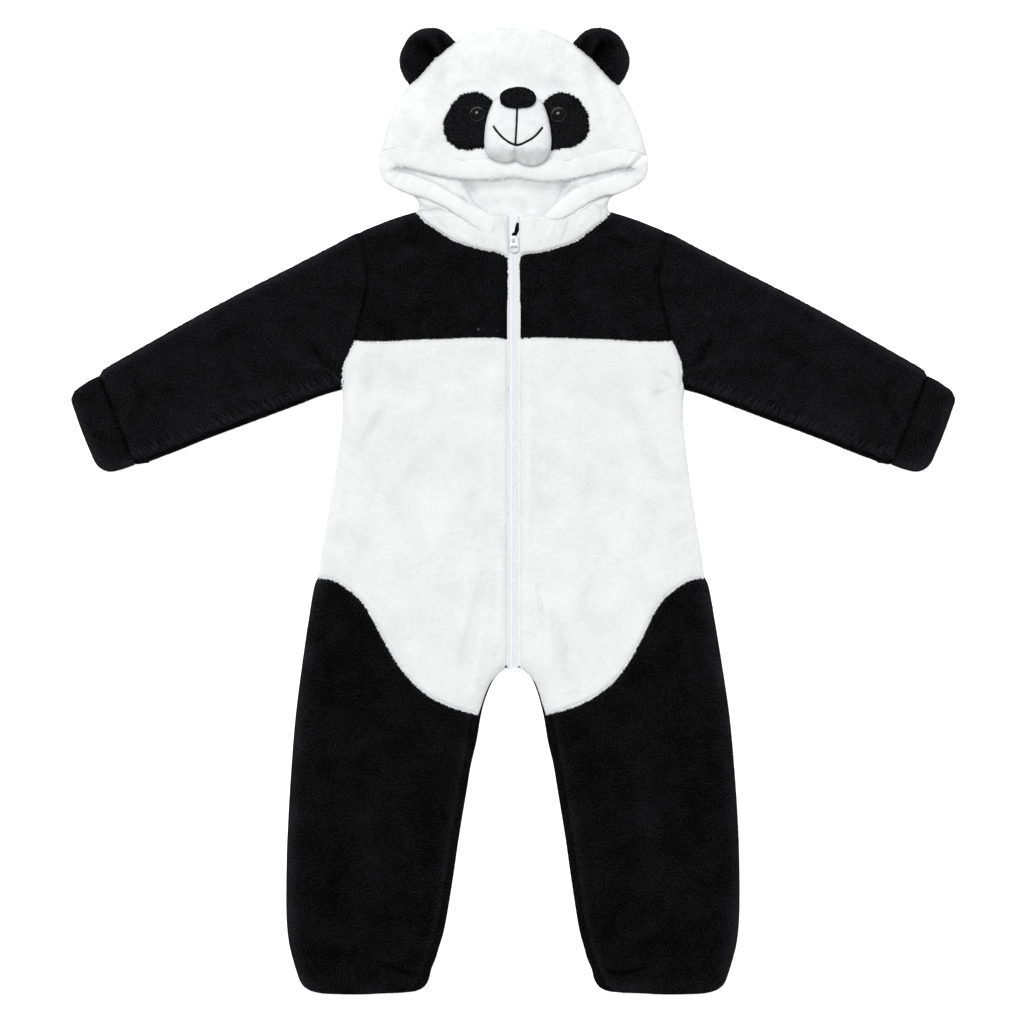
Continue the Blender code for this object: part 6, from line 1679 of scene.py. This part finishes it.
def ring_body(name, profile, at, material, steps=64):
    """A closed ring turned about a vertical axis."""
    a = 2 * np.pi * np.arange(steps) / steps
    loop = profile[:-1]
    v = [(at[0] + r * math.cos(t), at[1] + r * math.sin(t), at[2] + z) for t in a for r, z in loop]
    n = len(loop)
    f = [(k * n + i, ((k + 1) % steps) * n + i, ((k + 1) % steps) * n + (i + 1) % n, k * n + (i + 1) % n) for k in range(steps) for i in range(n)]
    made = new_mesh(name, v, f, material)
    work = bmesh.new()
    work.from_mesh(made.data)
    bmesh.ops.recalc_face_normals(work, faces=work.faces)
    work.to_mesh(made.data)
    work.free()
    return made


EYE_OBJECTS = {}
for side in (LEFT, RIGHT):
    EYE_OBJECTS[side] = turned_body(f"eye_{NAMES[side]}_gloss", EYE_PROFILE, (*EYES[side], 20.6), GLOSS)
    fuse(EYE_OBJECTS[side], ring_body(f"eye_rim_{NAMES[side]}", RIM_PROFILE, (*EYES[side], 20.9), RIM_GREY))

# nose: a padded oval
a, h = np.meshgrid(2 * np.pi * np.arange(72) / 72, np.linspace(-math.pi / 2, math.pi / 2, 44)[1:-1])
boxy = np.where(np.sin(a) < 0, 0.74, 0.9)
ball = np.stack([NOSE_HALF[0] * np.cos(h) * np.sign(np.cos(a)) * np.abs(np.cos(a)) ** boxy, NOSE_HALF[1] * np.cos(h) * np.sign(np.sin(a)) * np.abs(np.sin(a)) ** boxy, NOSE_HALF[2] * np.sin(h)], -1)
unit = ball / np.array(NOSE_HALF) ** 2
unit /= np.linalg.norm(unit, axis=2)[..., None]
grain = 0.3 * strands(ball[..., 0].ravel(), ball[..., 1].ravel() + ball[..., 2].ravel(), nap_angle(ball[..., 0].ravel(), ball[..., 1].ravel(), -1.2, 87), 3.0, 88).reshape(a.shape)
ball = ball + unit * (grain + 0.3 * soft(ball[..., 0].ravel(), ball[..., 1].ravel(), 7.0, 89).reshape(a.shape) - 0.15)[..., None]
c, s = math.cos(NOSE_TILT), math.sin(NOSE_TILT)
y, z = ball[..., 1] * c - ball[..., 2] * s, ball[..., 1] * s + ball[..., 2] * c
ball = np.stack([ball[..., 0] + NOSE_CENTRE[0], y + NOSE_CENTRE[1], z + NOSE_CENTRE[2]], -1)
rows, cols = a.shape
verts = ball.reshape(-1, 3)
low_pole, high_pole = ball[0].mean(0), ball[-1].mean(0)
verts = np.vstack([verts, low_pole, high_pole])
idx = np.arange(rows * cols).reshape(rows, cols)
q = np.stack([idx[:-1], np.roll(idx, -1, 1)[:-1], np.roll(idx, -1, 1)[1:], idx[1:]], -1).reshape(-1, 4).tolist()
q += [(rows * cols, idx[0][(k + 1) % cols], idx[0][k]) for k in range(cols)] + [(rows * cols + 1, idx[-1][k], idx[-1][(k + 1) % cols]) for k in range(cols)]
NOSE = new_mesh("nose_pad", verts, q, SHORT_BLACK)

# ---------------------------------------------------------------- zip
TAPE_X = 12.0
ZIP_PARTS = {}


def box_loft(name, rings, material, side=1, smooth=False):
    n = len(rings[0])
    verts = [p for r in rings for p in r]
    faces = [(r * n + i, r * n + (i + 1) % n, (r + 1) * n + (i + 1) % n, (r + 1) * n + i) for r in range(len(rings) - 1) for i in range(n)]
    faces += [tuple(reversed(range(n))), tuple((len(rings) - 1) * n + i for i in range(n))]
    made = new_mesh(name, verts, faces, material, smooth=smooth)
    work = bmesh.new()
    work.from_mesh(made.data)
    bmesh.ops.recalc_face_normals(work, faces=work.faces)
    work.to_mesh(made.data)
    work.free()
    return made


# columns: y, inner edge of the left tape, inner edge of the right tape (negative: past the middle)
CHAIN = [(324.6, 6.6, -6.4), (320.8, 6.9, -5.6), (318.4, 7.0, -3.9), (315.4, 7.0, -3.3), (312.6, 6.9, -2.2), (309.0, 6.4, -1.7), (306.6, 5.6, -1.1), (305.0, 4.9, 1.2), (301.6, 3.5, 1.8), (298.0, 1.4, 0.9), (293.0, 0.08, 0.0), (-173.2, 0.08, 0.0)]
for side in (LEFT, RIGHT):
    word = NAMES[side]
    chain = smooth_line([(x if side > 0 else z, y) for y, x, z in CHAIN[:-1]], 1.5).tolist() + [(0.08 if side > 0 else 0.0, y) for y in np.append(np.arange(289.0, -173.0, -6.0), -173.2)]
    rings = []
    for inner, y in chain:
        ring = [(inner, 5.0), (TAPE_X, 5.0), (TAPE_X, 6.5), (inner + 0.4, 6.7), (inner, 6.5)]
        rings.append([(side * x, y, z) for x, z in ring])
    tape = box_loft(f"zip_tape_{word}_woven", rings, TAPE, side)
    teeth_v, teeth_f = [], []
    ys = np.arange(318.0, -171.6, -2.45)
    for k, y in enumerate(ys):
        inner = np.interp(-y, [-r[1] for r in chain], [r[0] for r in chain])
        closed = y < 290.0
        if side == LEFT:
            x0, x1, top = inner + 0.3, inner + 3.6, 7.15
        else:
            x0, x1, top = inner - 0.05, inner + 1.2, 6.95
        if not closed and side == LEFT:
            continue
        shift = 0.0 if side == LEFT else 1.2
        w = 1.06 if side == LEFT else 0.9
        for z, inset in ((5.9, 0.0), (top - 0.35, 0.0), (top, 0.3)):
            teeth_v += [(side * (x0 + inset), y + shift - w + inset, z), (side * (x1 - inset), y + shift - w + inset, z), (side * (x1 - inset), y + shift + w - inset, z), (side * (x0 + inset), y + shift + w - inset, z)]
        n0 = len(teeth_v) - 12
        for r in (0, 4):
            teeth_f += [(n0 + r + i, n0 + r + (i + 1) % 4, n0 + r + 4 + (i + 1) % 4, n0 + r + 4 + i) for i in range(4)]
        teeth_f += [(n0 + 3, n0 + 2, n0 + 1, n0), (n0 + 8, n0 + 9, n0 + 10, n0 + 11)]
    teeth = new_mesh(f"zip_coil_{word}", teeth_v, [f[::-1] for f in teeth_f] if side < 0 else teeth_f, COIL, smooth=False)
    ZIP_PARTS[f"zip_tape_{word}"] = (tape, teeth)
    rows = []
    for y in np.append(np.arange(321.0, -172.0, -3.0), -173.0):
        x0, x1 = (4.7 + 2.2 * min(1.0, max(0.0, (y - 301.0) / 8.0)), 8.6) if side == LEFT else (4.3, 7.0)
        wob = 0.18 * float(soft(np.array([y]), np.array([side * 40.0]), 9.0, 95)[0])
        rows.append((x0 + wob, y, x1 + wob, y, 6.0, 7.9 + wob))
    ZIP_PARTS[f"zip_binding_{word}"] = (Band(f"zip_binding_{word}_plush", rows, side, WHITE, 2.0, 12, pile=0.2, wave=3.2, seed=7).obj, None)

def rounded_plate(name, loops, low, high, edge, material, lay=None):
    """A flat plate with holes: its outline first, its edges rounded all round. lay moves points of (u, v, w)."""
    curve = bpy.data.curves.new(name, "CURVE")
    curve.dimensions = "2D"
    curve.fill_mode = "BOTH"
    curve.extrude = (high - low) / 2 - edge
    curve.bevel_depth = edge
    curve.bevel_resolution = 3
    curve.offset = -edge
    for loop in loops:
        points = smooth_line(list(loop) + [loop[0]], 0.35)[:-1]
        spline = curve.splines.new("POLY")
        spline.points.add(len(points) - 1)
        for point, (x, y) in zip(spline.points, points):
            point.co = (x, y, 0.0, 1.0)
        spline.use_cyclic_u = True
    holder = bpy.data.objects.new(name, curve)
    bpy.context.scene.collection.objects.link(holder)
    bpy.context.view_layer.update()
    mesh = bpy.data.meshes.new_from_object(holder.evaluated_get(bpy.context.evaluated_depsgraph_get()))
    v = np.zeros(len(mesh.vertices) * 3)
    mesh.vertices.foreach_get("co", v)
    v = v.reshape(-1, 3)
    v[:, 2] += (low + high) / 2
    faces = [tuple(f.vertices) for f in mesh.polygons]
    bpy.data.objects.remove(holder)
    bpy.data.curves.remove(curve)
    bpy.data.meshes.remove(mesh)
    made = new_mesh(name, v if lay is None else lay(v), faces, material)
    work = bmesh.new()
    work.from_mesh(made.data)
    bmesh.ops.remove_doubles(work, verts=work.verts, dist=0.00001)
    bmesh.ops.recalc_face_normals(work, faces=work.faces)
    work.to_mesh(made.data)
    work.free()
    made.data.set_sharp_from_angle(angle=math.radians(28.0))
    return made


# slider: two plates, the post between them and the arch that holds the pull
PLATE = [(-3.4, 293.0), (-3.5, 297.0), (-3.1, 300.6), (-2.0, 302.4), (0.5, 302.9), (3.0, 302.4), (4.1, 300.6), (4.5, 297.0), (4.4, 293.0), (3.4, 290.6), (2.0, 289.7), (-1.0, 289.7), (-2.4, 290.6)]
SLIDER = rounded_plate("slider_plate", [PLATE], 7.2, 8.8, 0.55, METAL)
under_plate = rounded_plate("slider_under", [PLATE], 3.4, 4.7, 0.4, METAL)
post = rounded_plate("slider_post", [[(-0.5, 299.8), (0.5, 299.5), (1.5, 299.8), (1.6, 301.6), (0.5, 302.0), (-0.6, 301.6)]], 4.2, 7.8, 0.2, METAL)
arch_line = [(295.4, 8.0), (295.4, 11.0), (296.0, 12.2), (297.4, 12.75), (300.6, 12.75), (302.0, 12.2), (302.6, 11.0), (302.6, 8.0)]
arch_hole = [(296.45, 8.5), (296.45, 11.0), (297.1, 11.75), (301.0, 11.75), (301.6, 11.1), (301.6, 8.5)]
arch = rounded_plate("slider_arch", [arch_line, arch_hole], -0.75, 0.75, 0.3, METAL, lay=lambda v: np.column_stack([v[:, 2] + 0.5, v[:, 0], v[:, 1]]))
fuse(SLIDER, under_plate, post, arch)
PULL = rounded_plate(
    "pull_tab",
    [
        [(-1.2, 301.2), (1.9, 301.35), (4.9, 301.2), (5.5, 299.6), (5.7, 296.6), (6.4, 293.0), (6.7, 290.4), (6.2, 287.0), (4.3, 284.6), (1.2, 283.7), (-1.9, 284.6), (-3.9, 287.0), (-4.3, 290.4), (-3.7, 293.4), (-2.5, 297.2), (-1.9, 299.8)],
        [(-0.55, 299.2), (0.5, 299.3), (1.55, 299.2), (1.6, 297.0), (1.55, 294.5), (0.5, 294.4), (-0.55, 294.5), (-0.6, 297.0)],
        [(1.2 + 3.9 * math.cos(2 * math.pi * k / 16), 288.9 + 2.5 * math.sin(2 * math.pi * k / 16)) for k in range(16)],
    ],
    9.75, 11.05, 0.5, METAL,
)

# the black facing shows as a spot on each side of the zip's end
for side, spot in ((RIGHT, [(-9.2, -172.6), (-7.8, -171.4), (-6.6, -170.4)]), (LEFT, [(5.4, -170.6), (6.5, -171.6), (7.2, -172.6)])):
    fuse(CLOTHS[f"front_body_{NAMES[side]}"].obj, tube_on(f"zip_end_{NAMES[side]}", spot, 1.05, 0.8, THREAD, lambda x, y: np.full(len(x), 7.6), 0.3))

print("pieces made")

# ---------------------------------------------------------------- strands at the edges
W_EDGE = dict(length=(1.6, 3.0), width=(0.7, 1.25))
GROUPS = {}


def add(node, group):
    if len(group[3]):
        GROUPS.setdefault(node, []).append(group)


for side in (LEFT, RIGHT):
    word = NAMES[side]
    body, leg, yoke = CLOTHS[f"front_body_{word}"], CLOTHS[f"leg_front_{word}"], CLOTHS[f"front_yoke_{word}"]
    sleeve, cuff, face, neck = CLOTHS[f"sleeve_{word}"], CLOTHS[f"cuff_{word}"], CLOTHS[f"hood_face_{word}"], CLOTHS[f"neck_{word}"]
    rim = at_edge(None)
    for node, cloth in ((f"front_body_{word}", body), (f"leg_front_{word}", leg), (f"front_yoke_{word}", yoke)):
        add(node, rim_tufts(cloth, rim, RNG, 2.2, (1.7, 3.0), (0.7, 1.2), 0.1, 1.0, back=1.7))
    # white over black at the seams
    white_lines = [SEAMS[side][k] for k in ("yoke", "front", "arm")]
    add(f"front_body_{word}", rim_tufts(body, lambda r: (np.min([away(r, l) for l in white_lines], axis=0) < 0.8), RNG, 2.0, (2.0, 3.8), (0.8, 1.3), 0.5, 1.0, lean=0.7, back=1.0, lift=(-0.05, 0.3), stand=1.0))
    add(f"front_body_{word}", rim_tufts(body, lambda r: (np.abs(np.abs(r[:, 0]) - ZIP_EDGE[side]) < 0.3) & (r[:, 1] < 188), RNG, 1.5, (1.2, 2.2), (0.6, 1.0), 0.4, 1.0, lean=0.8, back=0.8, lift=(-0.3, 0.1), stand=0.6))
    add(f"front_yoke_{word}", rim_tufts(yoke, lambda r: (np.abs(np.abs(r[:, 0]) - ZIP_EDGE[side]) < 0.3) & (r[:, 1] > 189), RNG, 1.5, (1.2, 2.2), (0.6, 1.0), 0.4, 1.0, lean=0.8, back=0.8, lift=(-0.3, 0.1), stand=0.6))
    add(f"neck_{word}", rim_tufts(neck, near(SEAMS[side]["neck"], 0.8), RNG, 2.0, (1.8, 3.4), (0.7, 1.2), 0.5, 1.0, lean=0.7, back=1.0, lift=(-0.05, 0.3), stand=1.0))
    add(f"neck_{word}", rim_tufts(neck, near(HOOD_NECK, 1.0), RNG, 2.0, (1.6, 2.8), (0.7, 1.1), 0.1, 1.0))
    add(f"hood_face_{word}", rim_tufts(face, near(HOOD_ALL, 0.8), RNG, 2.6, (1.6, 2.8), (0.7, 1.2), 0.3, 1.0))
    add(f"ear_front_{word}", rim_tufts(EARS[f"ear_front_{word}"], near(EAR_TOP[side], 1.0), RNG, 1.5, (1.7, 3.2), (0.9, 1.5), 0.0, 1.0, back=1.5))
    patch = PATCHES[f"eye_patch_{word}"]
    add(f"eye_patch_{word}", rim_tufts(patch, lambda r: np.ones(len(r), bool), RNG, 1.7, (2.5, 4.0), (1.2, 1.9), 0.5, 1.0, lean=0.9, back=0.9, lift=(-0.1, 0.15), stand=0.3))
    # along the folds of the sleeve and the cuff, and the low edges
    for node, wrap_top in ((f"sleeve_{word}", SLEEVE_TOP), (f"cuff_{word}", CUFF_TOP)):
        line = smooth_line(flip(wrap_top, side), 1.5)
        t = np.gradient(line, axis=0)
        o = np.column_stack([-t[:, 1], t[:, 0]]) * side
        add(node, edge_tufts(line, o, np.tile([2.5, 6.5], (len(line), 1)), RNG, 2.2, (1.7, 3.0), (0.7, 1.2), back=1.9))
    line = smooth_line(flip(CUFF_RIM + CUFF_LOW[1:], side), 1.5)
    t = np.gradient(line, axis=0)
    o = np.column_stack([-t[:, 1], t[:, 0]]) * side
    add(f"cuff_{word}", edge_tufts(line, o, np.tile([1.0, 6.0], (len(line), 1)), RNG, 2.2, (1.7, 3.0), (0.7, 1.2), back=1.9))
    line = smooth_line(flip([(187.6, 133.3)] + SLEEVE_LOW[1:], side), 1.5)
    t = np.gradient(line, axis=0)
    o = np.column_stack([t[:, 1], -t[:, 0]]) * side
    add(f"sleeve_{word}", edge_tufts(line, o, np.tile([1.0, 5.5], (len(line), 1)), RNG, 2.2, (1.7, 3.0), (0.7, 1.2), back=1.9))
    inner_leg = [p for p in SIDE if p[1] < -188 and p[0] < 125]
    line = smooth_line(flip(inner_leg, side), 1.5)
    t = np.gradient(line, axis=0)
    o = np.column_stack([t[:, 1], -t[:, 0]]) * -side
    add(f"leg_back_{word}", edge_tufts(line, o, np.tile([1.0, 5.5], (len(line), 1)), RNG, 2.2, (1.7, 3.0), (0.7, 1.2), back=1.9))
    brim = BANDS[f"brim_{word}"]
    add(f"brim_{word}", band_tufts(brim, RNG, 0.6, (2.6, 4.8), (0.55, 1.0), pick=lambda c, n: (n[:, 2] > -0.55) & (n[:, 2] < 0.62) & (n[:, 1] < -0.1) & (c[:, 1] > 361.0) & (np.abs(c[:, 0]) < 126.0), lift=(0.1, 0.35), outward_only=lambda a, n: np.column_stack([n[:, :2] * 0.9, -0.1 + 0 * n[:, 2]])))
    add(f"brim_{word}", band_tufts(brim, RNG, 0.22, (1.6, 2.8), (0.6, 1.0), pick=lambda c, n: (np.abs(n[:, 2]) < 0.6) & ((np.abs(c[:, 0]) > 134) | (c[:, 1] < 358.0)) & (n[:, 0] * c[:, 0] - 40 * n[:, 1] > 0), lift=(0.1, 0.3), outward_only=lambda a, n: n * 0.5))

for side in (LEFT, RIGHT):
    word = NAMES[side]
    for node in (f"sleeve_{word}", f"leg_front_{word}", f"front_yoke_{word}", f"cuff_{word}"):
        add(node, surface_tufts(CLOTHS[node], 0.022, RNG, (3.0, 6.5), (0.45, 0.8), (0.02, 0.1), where=lambda c: (c[:, 1] > -530.0) * 1.0))
    under = SEAMS[side]["under"]
    add(f"sleeve_{word}", surface_tufts(CLOTHS[f"sleeve_{word}"], 0.05, RNG, (4.0, 8.0), (0.5, 0.9), (0.03, 0.12), where=lambda c, u=under: ((away(c, u) > 3.0) & (away(c, u) < 18.0)) * 1.0))
    # over the shoulder's end, where the sleeve's seam meets the outline
    ends = smooth_line(flip([(163.5, 307.2), (168.5, 304.8), (174.0, 303.4)], side), 1.0)
    t = np.gradient(ends, axis=0)
    add(f"front_yoke_{word}", edge_tufts(ends, np.column_stack([-t[:, 1], t[:, 0]]) * side, np.tile([2.5, 8.0], (len(ends), 1)), RNG, 5.0, (2.2, 3.4), (0.9, 1.4), back=2.8))
add("front_body_right", (np.array([(-38.7, 200.5, 12.6), (-17.8, 197.8, 12.6), (-37.6, 199.6, 12.6)]), np.array([(0.6, -1.0, 0.05), (0.2, 1.0, 0.05), (-0.7, -0.8, 0.05)]), np.array([(0.0, 0.0, 1.0)] * 3), np.array([2.2, 1.4, 1.6]), np.array([0.26, 0.18, 0.24])))

print("strands", {k: sum(len(g[3]) for g in v) for k, v in GROUPS.items()})
BLACK_NODES = ("leg", "yoke", "sleeve", "cuff", "ear", "eye_patch")
for node, groups in GROUPS.items():
    dark = any(word in node for word in BLACK_NODES)
    PILES[node] = join_tufts(f"pile_{node}", groups, BLACK_TUFT if dark else WHITE_TUFT)

# ---------------------------------------------------------------- floor, and each piece attached to its body in place of the parts it replaces
floor_mesh = bpy.data.meshes.new("floor")
floor_mesh.from_pydata([(-6, -6, -0.0004), (6, -6, -0.0004), (6, 6, -0.0004), (-6, 6, -0.0004)], [], [(0, 1, 2, 3)])
floor = bpy.data.objects.new("floor", floor_mesh)
bpy.context.scene.collection.objects.link(floor)
made, tree, shader = nodes_of("pale_floor")
where = tree.nodes.new("ShaderNodeTexCoord").outputs["Object"]
slow = noise(tree, where, 3.0, 2.0)
link(tree, mix_colour(tree, slow, (0.955, 0.955, 0.955), (0.97, 0.97, 0.97)), shader.inputs["Base Color"])
shader.inputs["Roughness"].default_value = 0.9
shader.inputs["Specular IOR Level"].default_value = 0.1
shader.inputs["Emission Color"].default_value = (1.0, 1.0, 1.0, 1.0)
shader.inputs["Emission Strength"].default_value = 0.6
floor_mesh.materials.append(made)

for node, cloth in CLOTHS.items():
    word = "_left" if node.endswith("_left") else "_right" if node.endswith("_right") else ""
    dark = any(w in node for w in BLACK_NODES)
    obj = cloth.obj
    if node in ROLLS:
        fuse(obj, ROLLS[node].obj)
    own(obj, (node,))
    pile = PILES.get(node)
    if pile is not None:
        own(pile, ())
    laid(obj, cloth.ring)
for node, cloth in EARS.items():
    own(cloth.obj, (node,))
    if node in PILES:
        own(PILES[node], ())
for node, cloth in PATCHES.items():
    own(cloth.obj, (node,))
    own(PILES[node], ())
    laid(cloth.obj, cloth.ring)
for node, band in BANDS.items():
    own(band.obj, (node,))
    own(PILES[node], ())
own(muzzle, ("muzzle",))
own(mouth, ())
own(NOSE, ("nose",))
for side in (LEFT, RIGHT):
    word = NAMES[side]
    own(EYE_OBJECTS[side], (f"eye_{word}",))
    tape, teeth = ZIP_PARTS[f"zip_tape_{word}"]
    own(tape, (f"zip_tape_{word}",))
    own(teeth, ())
    binding = ZIP_PARTS[f"zip_binding_{word}"][0]
    own(binding, (f"zip_binding_{word}",))

own(SLIDER, ("zip_slider",))
own(PULL, ("zip_pull",), body="pull")

print("triangles", sum(SPENT.values()), "most", sorted(SPENT.items(), key=lambda kv: -kv[1])[:4])
print("cuts, mm:", FLATS)
